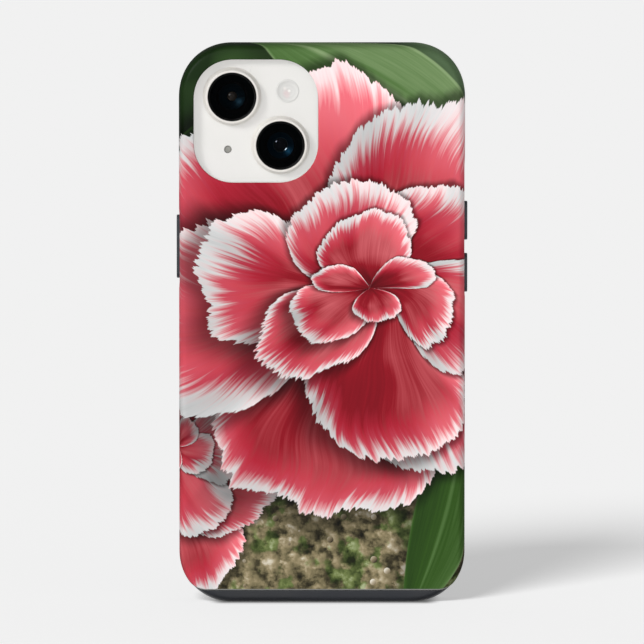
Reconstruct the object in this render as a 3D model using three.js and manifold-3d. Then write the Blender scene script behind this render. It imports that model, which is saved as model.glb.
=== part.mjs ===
// A smartphone standing on its lower edge in a printed two-layer protective case.
// Millimetres, +Z up. The printed back faces -Y, the display faces +Y, and X = 0 is the middle.
// Depths along Y are measured from the middle of the case, heights from the surface it stands on.
import * as THREE from "three";
import { mergeVertices } from "three/addons/utils/BufferGeometryUtils.js";
import Module from "manifold-3d";

// Driving dimensions of the case
const caseWidth = 77.3;
const caseHeight = 151.5;
const caseDepth = 11.8;
const caseCorner = 15;
const backEdge = 2.4;
const frontEdge = 1.1;
const shellWall = 1.2;
const shellBack = 1.4;
const shellFrontDrop = 0.7;
const linerBack = 1.1;
const linerLipOverlap = 0.8;
const footFlattening = 0.3;
const footCornerGrowth = 0.9;
const fitGap = 0.2;
const linerWindowMargin = 0.7;

// Height of the line where the shell ends and the liner's bumper starts, by distance from the middle
const bumperLine = [
  [31.2, 3.4],
  [33.2, 3.7],
  [34.6, 4.3],
  [36.2, 6],
  [77, 6.4],
];

// Driving dimensions of the phone
const phoneWidth = 71.5;
const phoneHeight = 146.7;
const phoneDepth = 7.8;
const phoneCorner = 12.4;
const glassThickness = 0.8;
const glassInset = 0.5;
const bandWall = 2.15;
const chassisFront = 3.1;
const chassisThickness = 0.4;
const seam = 0.15;

// Camera area: squircle window in the case, and behind it the raised glass, which reaches under its rim
const cameraWindow = { x: -17.9, z: 130.8, width: 33.6, height: 33.3, corner: 10.3 };
const plateau = { width: 34.2, height: 33.9, corner: 10.6, rise: 1, edge: 0.5 };
const lensCentres = { upper: [-24.25, 137.35], lower: [-11.2, 124.2] };
const lensRing = { outer: 7.4, inner: 6.6, flange: 5.8, rise: 1.85, flangeThickness: 0.95 };
const flash = { x: -9.45, z: 139, radius: 3.1 };
const rearMicrophone = { x: -25.4, z: 123, radius: 1 };

// Side keys: centre height, length of the case's pad, length of the phone's key
const sideKey = { z: 96.3, pad: 17.2, key: 15, side: -1 };
const volumeUpKey = { z: 103.35, pad: 10.55, key: 9.4, side: 1 };
const volumeDownKey = { z: 89.2, pad: 10.55, key: 9.4, side: 1 };
const padWidth = 3.6;
const padRise = 0.65;
const keyWidth = 2.6;
const keyTravel = 0.3;
const leftWindow = { z: 95.95, height: 21.3 };
const rightWindow = { z: 101.8, height: 37.4 };
const windowWidth = 7;
const windowCorner = 2.4;
const wallCutter = 6;
const ringSwitch = { z: 116.9, length: 5.6, width: 2.8, travel: 1.2 };
const switchWindow = { height: 6.8, width: 4.8 };

// Lower edge: charging port between two rows of sound holes
const portWindow = { width: 13.4, depth: 6.2 };
const soundWindow = { x: 17, width: 11, depth: 4.2 };
const port = { width: 8.8, depth: 3.2, length: 7 };
const soundHole = { radius: 0.7, pitch: 2.1, count: 5, depth: 4 };
const screw = { x: 6.9, radius: 0.8, length: 3 };
const earpieceSlit = { width: 12, height: 0.9, drop: 1.9 };

// Inside the phone
const inside = {
  gap: 0.2,
  batteryLeft: -7,
  sideReach: 32.6,
  bayTop: 116,
  lowerModuleHeight: 12,
  lowerModuleNear: 10,
  lowerModuleFar: 28,
  boardThickness: 0.8,
  coilThickness: 0.5,
};
const packages = {
  processor_package: { x: -20, z: 105, width: 14, height: 14, thickness: 1.2 },
  storage_package: { x: -21, z: 85, width: 12, height: 14, thickness: 1 },
  radio_package: { x: -21, z: 45, width: 10, height: 10, thickness: 1 },
};

// Outline and edge curves are superellipses of these powers
const cornerPower = 2.1;
const edgePower = 3;
const cornerSteps = 8;
const edgeSteps = 5;

// Worked-out planes
const backY = -caseDepth / 2;
const frontY = caseDepth / 2;
const middleZ = caseHeight / 2;
const phoneBackY = backY + shellBack + linerBack + 2 * fitGap;
const phoneFrontY = phoneBackY + phoneDepth;
const plateauY = phoneBackY - plateau.rise;
const ringY = plateauY - lensRing.rise;
const shellFrontY = frontY - shellFrontDrop;
const bandBackY = phoneBackY + 0.2;
const bandFrontY = phoneFrontY - 0.2;
const insideBackY = phoneBackY + glassThickness + seam;
const chassisBackY = chassisFront - chassisThickness;
const caseSideX = caseWidth / 2;
const phoneSideX = phoneWidth / 2;
const keyY = (phoneBackY + phoneFrontY) / 2;
const phoneBottom = middleZ - phoneHeight / 2;
const phoneTop = middleZ + phoneHeight / 2;
const keys = [sideKey, volumeUpKey, volumeDownKey];

const wasm = await Module();
wasm.setup();

const group = new THREE.Group();

const finishes = {
  printedPolycarbonate: { color: 0xb6485a, roughness: 0.42, metalness: 0 },
  linerRubber: { color: 0x35363a, roughness: 0.7, metalness: 0 },
  paintedAluminium: { color: 0xd9d7d0, roughness: 0.35, metalness: 0.6 },
  whiteGlass: { color: 0xeeede8, roughness: 0.12, metalness: 0 },
  blackGlass: { color: 0x08090b, roughness: 0.05, metalness: 0 },
  frostedDiffuser: { color: 0xe9e7e2, roughness: 0.4, metalness: 0 },
  steel: { color: 0xb9bbbd, roughness: 0.3, metalness: 1 },
  darkPlastic: { color: 0x1d1e20, roughness: 0.55, metalness: 0 },
  greyMesh: { color: 0x96958f, roughness: 0.6, metalness: 0.4 },
  circuitBoard: { color: 0x1f4a33, roughness: 0.5, metalness: 0 },
  batteryWrap: { color: 0x202226, roughness: 0.6, metalness: 0 },
  copper: { color: 0xb87345, roughness: 0.35, metalness: 1 },
};

function addPart(name, geometry, finish) {
  const mesh = new THREE.Mesh(geometry, new THREE.MeshStandardMaterial(finishes[finish]));
  mesh.name = name;
  group.add(mesh);
}

// A closed geometry as a solid that can be joined and cut
function toSolid(geometry) {
  const bare = geometry.clone();
  bare.deleteAttribute("normal");
  bare.deleteAttribute("uv");
  const merged = mergeVertices(bare, 1e-4);
  const vertProperties = new Float32Array(merged.attributes.position.array);
  const triVerts = new Uint32Array(merged.index.array);
  return new wasm.Manifold(new wasm.Mesh({ numProp: 3, vertProperties, triVerts }));
}

function toGeometry(solid) {
  const mesh = solid.getMesh();
  const geometry = new THREE.BufferGeometry();
  geometry.setAttribute("position", new THREE.BufferAttribute(mesh.vertProperties, 3));
  geometry.setIndex(new THREE.BufferAttribute(mesh.triVerts, 1));
  return geometry;
}

// Takes away every cutter from the body
function cut(body, cutters) {
  let solid = toSolid(body);
  for (const cutter of cutters) {
    solid = solid.subtract(toSolid(cutter));
  }
  return toGeometry(solid);
}

// Rounded rectangle in the XZ plane with superelliptic corners, anticlockwise seen from -Y
function outline(halfWidth, halfHeight, corner) {
  const points = [];
  for (let quarter = 0; quarter < 4; quarter += 1) {
    const signX = quarter === 0 || quarter === 3 ? 1 : -1;
    const signZ = quarter < 2 ? 1 : -1;
    for (let step = 0; step <= cornerSteps; step += 1) {
      const turn = (Math.PI / 2) * (step / cornerSteps);
      const angle = quarter % 2 === 0 ? turn : Math.PI / 2 - turn;
      const x = halfWidth - corner + corner * Math.cos(angle) ** (2 / cornerPower);
      const z = halfHeight - corner + corner * Math.sin(angle) ** (2 / cornerPower);
      points.push([signX * x, signZ * z]);
    }
  }
  return points;
}

// Closed solid through a stack of rounded rectangles, one at each depth from back to front
function layered(levels, centreX, centreZ) {
  const positions = [];
  const indices = [];
  const rings = levels.map((level) => outline(level.halfWidth, level.halfHeight, level.corner));
  const count = rings[0].length;
  rings.forEach((ring, row) => {
    for (const [x, z] of ring) {
      positions.push(centreX + x, levels[row].y, centreZ + z);
    }
  });
  const backCentre = count * rings.length;
  const frontCentre = backCentre + 1;
  positions.push(centreX, levels[0].y, centreZ);
  positions.push(centreX, levels.at(-1).y, centreZ);
  for (let i = 0; i < count; i += 1) {
    const next = (i + 1) % count;
    for (let row = 0; row + 1 < rings.length; row += 1) {
      const here = row * count;
      const beyond = here + count;
      indices.push(here + i, beyond + i, beyond + next);
      indices.push(here + i, beyond + next, here + next);
    }
    const last = (rings.length - 1) * count;
    indices.push(backCentre, i, next);
    indices.push(frontCentre, last + next, last + i);
  }
  const geometry = new THREE.BufferGeometry();
  geometry.setAttribute("position", new THREE.Float32BufferAttribute(positions, 3));
  geometry.setIndex(indices);
  return geometry;
}

// Straight-sided rounded block
function block(halfWidth, halfHeight, corner, fromY, toY, centreX = 0, centreZ = middleZ) {
  const level = { halfWidth, halfHeight, corner };
  return layered([{ ...level, y: fromY }, { ...level, y: toY }], centreX, centreZ);
}

function box(fromX, toX, fromY, toY, fromZ, toZ) {
  const geometry = new THREE.BoxGeometry(toX - fromX, toY - fromY, toZ - fromZ);
  return geometry.translate((fromX + toX) / 2, (fromY + toY) / 2, (fromZ + toZ) / 2);
}

// How far a superelliptic edge has drawn in at a share of the way to its rim
function edgeDraw(depth, share) {
  return depth * (1 - (1 - share ** edgePower) ** (1 / edgePower));
}

// Body of the case drawn in by a margin all round, its sides curving in to both rims
function caseBody({ margin, fromY, toY, backDraw, frontDraw, extraHeight = 0, extraCorner = 0 }) {
  const levels = [];
  const add = (y, draw) => {
    const inset = margin + draw;
    levels.push({
      y,
      halfWidth: caseWidth / 2 - inset,
      halfHeight: caseHeight / 2 - inset + extraHeight,
      corner: caseCorner - inset + extraCorner,
    });
  };
  for (let step = edgeSteps; step > 0; step -= 1) {
    const share = Math.sin((Math.PI / 2) * (step / edgeSteps));
    add(fromY * share, edgeDraw(backDraw, share));
  }
  add(0, 0);
  for (let step = 1; step <= edgeSteps; step += 1) {
    const share = Math.sin((Math.PI / 2) * (step / edgeSteps));
    add(toY * share, edgeDraw(frontDraw, share));
  }
  return layered(levels, 0, middleZ);
}

// Pill-shaped bar along X, Y or Z; its long side runs along Z, or along X for a bar along Z
function pill(axis, centre, length, width, depth, radius = width / 2) {
  const shape = new THREE.Shape();
  const [w, h] = axis === "z" ? [length / 2, width / 2] : [width / 2, length / 2];
  shape.absarc(w - radius, h - radius, radius, 0, Math.PI / 2);
  shape.absarc(radius - w, h - radius, radius, Math.PI / 2, Math.PI);
  shape.absarc(radius - w, radius - h, radius, Math.PI, 1.5 * Math.PI);
  shape.absarc(w - radius, radius - h, radius, 1.5 * Math.PI, 2 * Math.PI);
  const options = { depth, bevelEnabled: false, curveSegments: 5 };
  const geometry = new THREE.ExtrudeGeometry(shape, options).translate(0, 0, -depth / 2);
  if (axis === "x") {
    geometry.rotateX(Math.PI / 2).rotateZ(Math.PI / 2);
  }
  if (axis === "y") {
    geometry.rotateX(Math.PI / 2);
  }
  return geometry.translate(...centre);
}

// Round disc, ring or stepped plug: profile of [radius, y] turned about a line along Y
function turned(profile, x, z, sides = 32) {
  const points = profile.map(([radius, y]) => new THREE.Vector2(radius, y));
  return new THREE.LatheGeometry(points, sides).translate(x, 0, z);
}

function disc(radius, fromY, toY, x, z, sides = 32) {
  return turned([[0, fromY], [radius, fromY], [radius, toY], [0, toY]], x, z, sides);
}

function tube(inner, outer, fromY, toY, x, z, sides = 40) {
  const profile = [[inner, fromY], [outer, fromY], [outer, toY], [inner, toY], [inner, fromY]];
  return turned(profile, x, z, sides);
}

// Region below the line where the hard shell ends and the liner's bumper takes over
function bumperRegion(lift) {
  const shape = new THREE.Shape();
  const reach = bumperLine.at(-1)[0];
  shape.moveTo(-reach, -reach);
  shape.lineTo(reach, -reach);
  for (const [x, z] of bumperLine.toReversed()) {
    shape.lineTo(x, z + lift);
  }
  for (const [x, z] of bumperLine) {
    shape.lineTo(-x, z + lift);
  }
  const geometry = new THREE.ExtrudeGeometry(shape, { depth: 2 * caseDepth, bevelEnabled: false });
  return geometry.rotateX(Math.PI / 2).translate(0, caseDepth, 0);
}

function makeShell() {
  const body = caseBody({
    margin: 0,
    fromY: backY,
    toY: frontY,
    backDraw: backEdge,
    frontDraw: frontEdge,
  });
  const hollow = caseBody({
    margin: shellWall,
    fromY: backY + shellBack,
    toY: frontY + 1,
    backDraw: backEdge - shellWall,
    frontDraw: 0,
  });
  const cutters = [
    hollow,
    box(-caseWidth, caseWidth, shellFrontY, 2 * frontY, -1, caseHeight + 1),
    bumperRegion(0),
    cameraOpening(0, backY - 1, 0),
    sideWindow(-caseSideX, leftWindow),
    sideWindow(caseSideX, rightWindow),
  ];
  addPart("case_shell", cut(body, cutters), "printedPolycarbonate");
}

function sideWindow(x, { z, height }) {
  return pill("x", [x, 0, z], height, windowWidth, wallCutter, windowCorner);
}

function cameraOpening(margin, fromY, toY) {
  return block(
    cameraWindow.width / 2 + margin,
    cameraWindow.height / 2 + margin,
    cameraWindow.corner + margin,
    fromY,
    toY,
    cameraWindow.x,
    cameraWindow.z,
  );
}

// Pocket shaped like the phone, grown by a margin
function phoneBlock(margin, fromY, toY) {
  const halfWidth = phoneWidth / 2 + margin;
  const halfHeight = phoneHeight / 2 + margin;
  return block(halfWidth, halfHeight, phoneCorner + margin, fromY, toY);
}

function lipOpening() {
  const level = (y, margin) => ({
    y,
    halfWidth: phoneWidth / 2 - linerLipOverlap + margin,
    halfHeight: phoneHeight / 2 - linerLipOverlap + margin,
    corner: phoneCorner - linerLipOverlap + margin,
  });
  return layered([level(phoneFrontY - 1, 0), level(phoneFrontY + 0.4, 0), level(frontY + 1, 1)], 0, middleZ);
}

function makeLiner() {
  const inner = caseBody({
    margin: shellWall + fitGap,
    fromY: backY + shellBack + fitGap,
    toY: shellFrontY,
    backDraw: backEdge - shellWall,
    frontDraw: 0,
  });
  const lip = layered(
    [
      [shellFrontY - 0.1, shellWall + fitGap],
      [shellFrontY + 0.1, shellWall + fitGap],
      [shellFrontY + 0.3, shellWall - 0.4],
      [frontY - 0.15, shellWall - 0.35],
      [frontY, shellWall],
    ].map(([y, inset]) => ({
      y,
      halfWidth: caseWidth / 2 - inset,
      halfHeight: caseHeight / 2 - inset,
      corner: caseCorner - inset,
    })),
    0,
    middleZ,
  );
  const bumper = caseBody({
    margin: 0,
    fromY: backY,
    toY: frontY,
    backDraw: backEdge,
    frontDraw: frontEdge,
    extraHeight: footFlattening,
    extraCorner: footCornerGrowth,
  });
  const foot = toSolid(bumper).intersect(toSolid(bumperRegion(-fitGap)));
  const body = toSolid(inner).add(toSolid(lip)).add(foot);
  const cutters = [
    box(-caseWidth, caseWidth, -caseDepth, caseDepth, -caseHeight, 0),
    phoneBlock(fitGap, phoneBackY - fitGap, phoneFrontY + fitGap),
    lipOpening(),
    cameraOpening(linerWindowMargin, backY - 1, 0),
    pill("z", [0, keyY, 0], portWindow.width, portWindow.depth, wallCutter),
    pill("z", [soundWindow.x, keyY, 0], soundWindow.width, soundWindow.depth, wallCutter),
    pill("z", [-soundWindow.x, keyY, 0], soundWindow.width, soundWindow.depth, wallCutter),
    pill("x", [phoneSideX, keyY, ringSwitch.z], switchWindow.height, switchWindow.width, wallCutter),
  ];
  for (const key of keys) {
    const hole = [key.side * phoneSideX, keyY, key.z];
    cutters.push(pill("x", hole, key.pad + 2 * fitGap, padWidth + 2 * fitGap, wallCutter));
  }
  addPart("case_liner", cut(toGeometry(body), cutters), "linerRubber");
}

// The liner's pad, the phone's key under it and the switch that the key presses
function makeKey(name, key) {
  const pressed = phoneSideX + 0.4;
  const padInner = pressed + seam;
  const padOuter = caseSideX + padRise;
  const padMiddle = (key.side * (padInner + padOuter)) / 2;
  const padCentre = [padMiddle, keyY, key.z];
  const pad = pill("x", padCentre, key.pad, padWidth, padOuter - padInner);
  addPart(`${name}_pad`, pad, "linerRubber");
  const keyInner = phoneSideX - bandWall + keyTravel;
  const keyCentre = [(key.side * (keyInner + pressed)) / 2, keyY, key.z];
  addPart(`${name}_key`, pill("x", keyCentre, key.key, keyWidth, pressed - keyInner), "paintedAluminium");
  const switchX = [phoneSideX - bandWall - 0.65, phoneSideX - bandWall - seam];
  const [fromX, toX] = key.side > 0 ? switchX : [-switchX[1], -switchX[0]];
  const halfLength = key.key / 2 + 1;
  const contact = box(fromX, toX, keyY - 1.25, keyY + 1.25, key.z - halfLength, key.z + halfLength);
  addPart(`${name}_contact_switch`, contact, "steel");
}

function makePhoneFrame() {
  const level = (y, margin) => ({
    y,
    halfWidth: phoneWidth / 2 - margin,
    halfHeight: phoneHeight / 2 - margin,
    corner: phoneCorner - margin,
  });
  const band = layered(
    [
      level(bandBackY, 0.3),
      level(bandBackY + 0.3, 0),
      level(bandFrontY - 0.3, 0),
      level(bandFrontY, 0.3),
    ],
    0,
    middleZ,
  );
  const rabbet = -glassInset + seam;
  const cutters = [
    phoneBlock(-bandWall, bandBackY - 1, chassisBackY),
    phoneBlock(-bandWall, chassisFront, bandFrontY + 1),
    phoneBlock(rabbet, bandBackY - 1, insideBackY),
    phoneBlock(rabbet, phoneFrontY - glassThickness - seam, bandFrontY + 1),
    pill("z", [0, keyY, phoneBottom], port.width + 2 * seam, port.depth + 2 * seam, wallCutter),
    pill("x", [phoneSideX, keyY, ringSwitch.z], ringSwitch.length, ringSwitch.width, wallCutter),
  ];
  for (const key of keys) {
    const centre = [key.side * phoneSideX, keyY, key.z];
    cutters.push(pill("x", centre, key.key + 2 * seam, keyWidth + 2 * seam, wallCutter));
  }
  const holeTop = phoneBottom + soundHole.depth;
  for (const side of [-1, 1]) {
    cutters.push(upright(screw.radius + seam, side * screw.x, phoneBottom - 1, holeTop, 16));
    for (let i = 0; i < soundHole.count; i += 1) {
      const x = side * soundWindow.x + (i - (soundHole.count - 1) / 2) * soundHole.pitch;
      cutters.push(upright(soundHole.radius, x, phoneBottom - 1, holeTop, 12));
    }
  }
  addPart("phone_frame", cut(band, cutters), "paintedAluminium");
}

// Round bar along Z in the middle of the phone's thickness
function upright(radius, x, fromZ, toZ, sides) {
  const bar = new THREE.CylinderGeometry(radius, radius, toZ - fromZ, sides);
  return bar.rotateX(Math.PI / 2).translate(x, keyY, (fromZ + toZ) / 2);
}

// Glass back in one piece with the raised glass round the lenses
function makeBackGlass() {
  const sheet = phoneBlock(-glassInset, phoneBackY, phoneBackY + glassThickness);
  const levels = [{ y: phoneBackY + glassThickness / 2, inset: 0 }];
  for (let step = 0; step <= 3; step += 1) {
    const turn = (Math.PI / 2) * (step / 3);
    const y = plateauY + plateau.edge * (1 - Math.sin(turn));
    levels.push({ y, inset: plateau.edge * (1 - Math.cos(turn)) });
  }
  levels.reverse();
  const raised = layered(
    levels.map(({ y, inset }) => ({
      y,
      halfWidth: plateau.width / 2 - inset,
      halfHeight: plateau.height / 2 - inset,
      corner: plateau.corner - inset,
    })),
    cameraWindow.x,
    cameraWindow.z,
  );
  const body = toGeometry(toSolid(sheet).add(toSolid(raised)));
  const throughTo = phoneBackY + glassThickness + 1;
  const cutters = [
    disc(flash.radius + seam, plateauY - 1, throughTo, flash.x, flash.z),
    disc(rearMicrophone.radius, plateauY - 1, throughTo, rearMicrophone.x, rearMicrophone.z, 16),
  ];
  for (const [x, z] of Object.values(lensCentres)) {
    cutters.push(disc(lensRing.flange, plateauY - 1, throughTo, x, z));
  }
  addPart("back_glass", cut(body, cutters), "whiteGlass");
}

// Metal ring, cover glass and camera module behind each rear lens
function makeRearCameras() {
  for (const [name, [x, z]] of Object.entries(lensCentres)) {
    const footY = plateauY - seam;
    const stepY = footY - lensRing.flangeThickness;
    const profile = [
      [lensRing.flange, footY],
      [lensRing.flange, stepY],
      [lensRing.inner, stepY],
      [lensRing.inner, ringY + 0.1],
      [lensRing.inner + 0.1, ringY],
      [lensRing.outer - 0.25, ringY],
      [lensRing.outer, ringY + 0.25],
      [lensRing.outer, footY],
      [lensRing.flange, footY],
    ];
    addPart(`${name}_lens_ring`, turned(profile, x, z, 40), "paintedAluminium");
    const cover = disc(lensRing.inner - seam, stepY - 0.5 - seam, stepY - seam, x, z, 40);
    addPart(`${name}_lens_glass`, cover, "blackGlass");
    const barrel = disc(lensRing.flange - 0.3, stepY, insideBackY + 0.6, x, z, 28);
    const base = box(x - 6, x + 6, insideBackY + 0.2, chassisBackY - 0.2, z - 6, z + 6);
    const module = toGeometry(toSolid(barrel).add(toSolid(base)));
    addPart(`${name}_camera_module`, module, "darkPlastic");
  }
}

function makeFlashAndMicrophone() {
  const windowFloor = plateauY + 0.9;
  const flashWindow = disc(flash.radius, plateauY + 0.05, windowFloor, flash.x, flash.z);
  addPart("flash_window", flashWindow, "frostedDiffuser");
  const lampHalf = 1.8;
  const lamp = box(
    flash.x - lampHalf,
    flash.x + lampHalf,
    windowFloor + seam,
    insideBackY + 0.4,
    flash.z - lampHalf,
    flash.z + lampHalf,
  );
  addPart("flash_lamp", lamp, "frostedDiffuser");
  const { x, z, radius } = rearMicrophone;
  const mesh = disc(radius - seam, plateauY + 0.45, plateauY + 0.85, x, z, 16);
  addPart("rear_microphone_mesh", mesh, "greyMesh");
}

function makeDisplay() {
  const glassBackY = phoneFrontY - glassThickness;
  const sheet = phoneBlock(-glassInset, glassBackY, phoneFrontY);
  const { width, height, drop } = earpieceSlit;
  const slit = pill("y", [0, phoneFrontY, phoneTop - drop], height, width, wallCutter, height / 2);
  addPart("display_glass", cut(sheet, [slit]), "blackGlass");
  const panelMargin = -bandWall - 0.3;
  const panel = phoneBlock(panelMargin, chassisFront + seam, glassBackY - seam);
  addPart("display_panel", panel, "darkPlastic");
}

function makeRingSwitch() {
  const length = ringSwitch.length - 6 * seam;
  const width = ringSwitch.width - ringSwitch.travel - 2 * seam;
  const outerX = phoneSideX - 0.25;
  const innerX = phoneSideX - bandWall - 0.6;
  const y = keyY - ringSwitch.travel / 2;
  const centre = [(innerX + outerX) / 2, y, ringSwitch.z];
  const slider = pill("x", centre, length, width, outerX - innerX, width / 2 - 0.01);
  addPart("ring_switch_slider", slider, "paintedAluminium");
}

function makePortAndScrews() {
  const top = phoneBottom + port.length;
  const middle = phoneBottom + 0.3 + port.length / 2;
  const centre = [0, keyY, middle];
  const outer = pill("z", centre, port.width, port.depth, port.length);
  const mouth = pill("z", [0, keyY, middle - 1], port.width - 0.7, port.depth - 0.7, port.length);
  addPart("charging_port_shell", cut(outer, [mouth]), "steel");
  const tongue = box(-3, 3, keyY - 0.35, keyY + 0.35, phoneBottom + 1.2, top - 0.9);
  addPart("charging_port_tongue", tongue, "darkPlastic");
  for (const [name, side] of [["left", -1], ["right", 1]]) {
    const headZ = phoneBottom + seam;
    const shank = upright(screw.radius, side * screw.x, headZ, headZ + screw.length, 16);
    addPart(`${name}_bottom_screw`, shank, "steel");
  }
}

// Everything the phone needs inside to work, between the glass back and the chassis plate
function makeInside() {
  const backFace = insideBackY + inside.gap;
  const frontFace = chassisBackY - inside.gap;
  const floorZ = phoneBottom + bandWall + 1.5;
  const bayBottom = floorZ + inside.lowerModuleHeight + 1;
  const coilFront = backFace + inside.coilThickness;
  const { batteryLeft, sideReach, bayTop, lowerModuleNear, lowerModuleFar } = inside;
  const batteryBack = coilFront + inside.gap;
  const battery = box(batteryLeft, sideReach, batteryBack, frontFace, bayBottom, bayTop);
  addPart("battery", battery, "batteryWrap");
  const boardBack = frontFace - inside.boardThickness;
  const board = box(-sideReach, batteryLeft - 1, boardBack, frontFace, bayBottom, bayTop);
  addPart("logic_board", board, "circuitBoard");
  for (const [name, chip] of Object.entries(packages)) {
    const chipFront = boardBack - inside.gap;
    const [halfWidth, halfHeight] = [chip.width / 2, chip.height / 2];
    const [fromX, toX] = [chip.x - halfWidth, chip.x + halfWidth];
    const [fromZ, toZ] = [chip.z - halfHeight, chip.z + halfHeight];
    addPart(name, box(fromX, toX, chipFront - chip.thickness, chipFront, fromZ, toZ), "darkPlastic");
  }
  const coilZ = middleZ - 4;
  addPart("charging_coil", tube(11, 20.5, backFace, coilFront, 0, coilZ), "copper");
  addPart("magnet_ring", tube(23, 27, backFace, coilFront, 0, coilZ), "steel");
  const shelfZ = floorZ + inside.lowerModuleHeight;
  const vibration = box(-lowerModuleFar, -lowerModuleNear, backFace, frontFace, floorZ, shelfZ);
  addPart("vibration_motor", vibration, "steel");
  const speaker = box(lowerModuleNear, lowerModuleFar, backFace, frontFace, floorZ, shelfZ);
  addPart("loudspeaker", speaker, "darkPlastic");
  const ceilingZ = phoneTop - bandWall - 0.5;
  addPart("earpiece", box(-2, 12, backFace, frontFace, ceilingZ - 5, ceilingZ), "darkPlastic");
  addPart("front_camera", box(15, 22, backFace, frontFace, ceilingZ - 7, ceilingZ), "darkPlastic");
}

makeShell();
makeLiner();
makeKey("side", sideKey);
makeKey("volume_up", volumeUpKey);
makeKey("volume_down", volumeDownKey);
makePhoneFrame();
makeBackGlass();
makeRearCameras();
makeFlashAndMicrophone();
makeDisplay();
makeRingSwitch();
makePortAndScrews();
makeInside();

export default group;
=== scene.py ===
import math

import bmesh
import bpy
import numpy as np
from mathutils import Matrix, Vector


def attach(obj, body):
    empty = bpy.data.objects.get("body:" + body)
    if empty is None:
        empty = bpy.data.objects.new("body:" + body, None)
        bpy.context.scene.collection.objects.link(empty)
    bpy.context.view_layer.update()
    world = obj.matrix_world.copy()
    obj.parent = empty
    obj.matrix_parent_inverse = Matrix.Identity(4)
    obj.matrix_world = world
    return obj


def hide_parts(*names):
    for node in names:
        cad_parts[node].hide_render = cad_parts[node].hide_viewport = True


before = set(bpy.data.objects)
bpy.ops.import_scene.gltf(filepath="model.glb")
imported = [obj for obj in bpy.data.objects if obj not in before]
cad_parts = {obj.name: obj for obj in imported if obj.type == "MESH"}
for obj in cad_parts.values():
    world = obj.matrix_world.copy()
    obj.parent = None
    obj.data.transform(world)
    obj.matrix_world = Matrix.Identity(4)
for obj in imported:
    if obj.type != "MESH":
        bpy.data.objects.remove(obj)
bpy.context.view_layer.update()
mm = 0.001
rootBody = "phone_in_case"
cornerPower = 2.1                       # of the superellipse that every corner follows; 2 is a circle
caseSteps, phoneSteps = 40, 32          # points round a corner
print("stage: frame loaded")


def linear(hexColour):
    # sRGB hex to linear light: a straight foot below 0.04045, a 2.4 power above it
    channels = [int(hexColour[i:i + 2], 16) / 255 for i in (1, 3, 5)]
    return tuple(c / 12.92 if c <= 0.04045 else ((c + 0.055) / 1.055) ** 2.4 for c in channels) + (1.0,)


def give(socket, value):
    # a socket takes a number, a vector, a colour in hex, another socket or a node's first output
    if isinstance(value, bpy.types.Node):
        value = value.outputs[0]
    if isinstance(value, bpy.types.NodeSocket):
        socket.id_data.links.new(value, socket)
    else:
        socket.default_value = linear(value) if isinstance(value, str) else value


def nodeAdder(tree):
    def node(kind, *values, stops=(), **settings):
        # adds one node: "Math ADD" names its operation too, and the values go to its inputs in their order,
        # or by name from a dictionary. MapRange takes the value, then the range it has and the range it gets.
        name, _, operation = kind.partition(" ")
        made = tree.nodes.new("ShaderNode" + name)
        if operation:
            made.operation = operation
        for key, value in settings.items():
            setattr(made, key, value)
        for position, (place, colour) in enumerate(stops):
            elements = made.color_ramp.elements
            stop = elements[position] if position < 2 else elements.new(place)
            stop.position = place
            stop.color = linear(colour)
        named = bool(values) and isinstance(values[0], dict)
        for key, value in values[0].items() if named else enumerate(values):
            give(made.inputs[key], value)
        return made
    return node


def plug(made, **sockets):
    # what the Principled surface's own sockets get, with _ for a space in their names
    for key, value in sockets.items():
        give(made.node_tree.nodes["Principled BSDF"].inputs[key.replace("_", " ")], value)
    return made


def newMaterial(name, **sockets):
    # gives the material, the function that adds its nodes, and the place on the object
    made = bpy.data.materials.new(name)
    made.use_nodes = True
    node = nodeAdder(made.node_tree)
    return plug(made, **sockets), node, node("TexCoord").outputs["Object"]


def flecked(name, low, high, scale, detail=2.0, stops=(0.3, 0.7), rough=None, relief=None, stretch=None,
            **sockets):
    # two close tones by one fine noise, whose scale can differ along the axes by a stretch. Its roughness,
    # from one value to another, and its relief, by strength and height in millimetres, may follow that noise.
    made, node, spot = newMaterial(name, **sockets)
    if stretch:
        spot = node("Mapping", {"Vector": spot, "Scale": stretch}, vector_type="POINT")
    fleck = node("TexNoise", {"Vector": spot, "Scale": scale, "Detail": detail})
    if rough:
        plug(made, Roughness=node("MapRange", fleck, *stops, *rough))
    if relief:
        plug(made, Normal=node("Bump", {"Height": fleck, "Strength": relief[0], "Distance": relief[1] * mm}))
    return plug(made, Base_Color=node("ValToRGB", fleck, stops=[(stops[0], low), (stops[1], high)]))


def addObject(name, points, faces):
    # points in millimetres, as an array of rows of x, y, z
    mesh = bpy.data.meshes.new(name)
    mesh.from_pydata((np.asarray(points, float).reshape(-1, 3) * mm).tolist(), [], faces)
    made = bpy.data.objects.new(name, mesh)
    bpy.context.scene.collection.objects.link(made)
    return made


def readPlaces(elements, key):
    # the x, y and z of all vertices ("co") or face centres ("center"), in millimetres
    places = np.zeros(len(elements) * 3)
    elements.foreach_get(key, places)
    return places.reshape(-1, 3).T / mm


def faceOutward(made):
    edit = bmesh.new()
    edit.from_mesh(made.data)
    bmesh.ops.recalc_face_normals(edit, faces=edit.faces)
    edit.to_mesh(made.data)
    edit.free()


def lofted(name, rings, closed=False):
    # rings is [row, column, xyz]: quads join each ring to the next, and flat caps or a last join close it
    rows, columns = rings.shape[:2]
    index = np.arange(rows * columns).reshape(rows, columns)
    after = np.roll(index, -1, axis=1)
    upper = np.roll(index, -1, axis=0)
    last = rows if closed else rows - 1
    quads = np.stack([index, after, np.roll(upper, -1, axis=1), upper], axis=-1)[:last].reshape(-1, 4)
    faces = quads.tolist()
    if not closed:
        faces += [index[0].tolist(), index[-1].tolist()]
    made = addObject(name, rings, faces)
    faceOutward(made)
    return made


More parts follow.
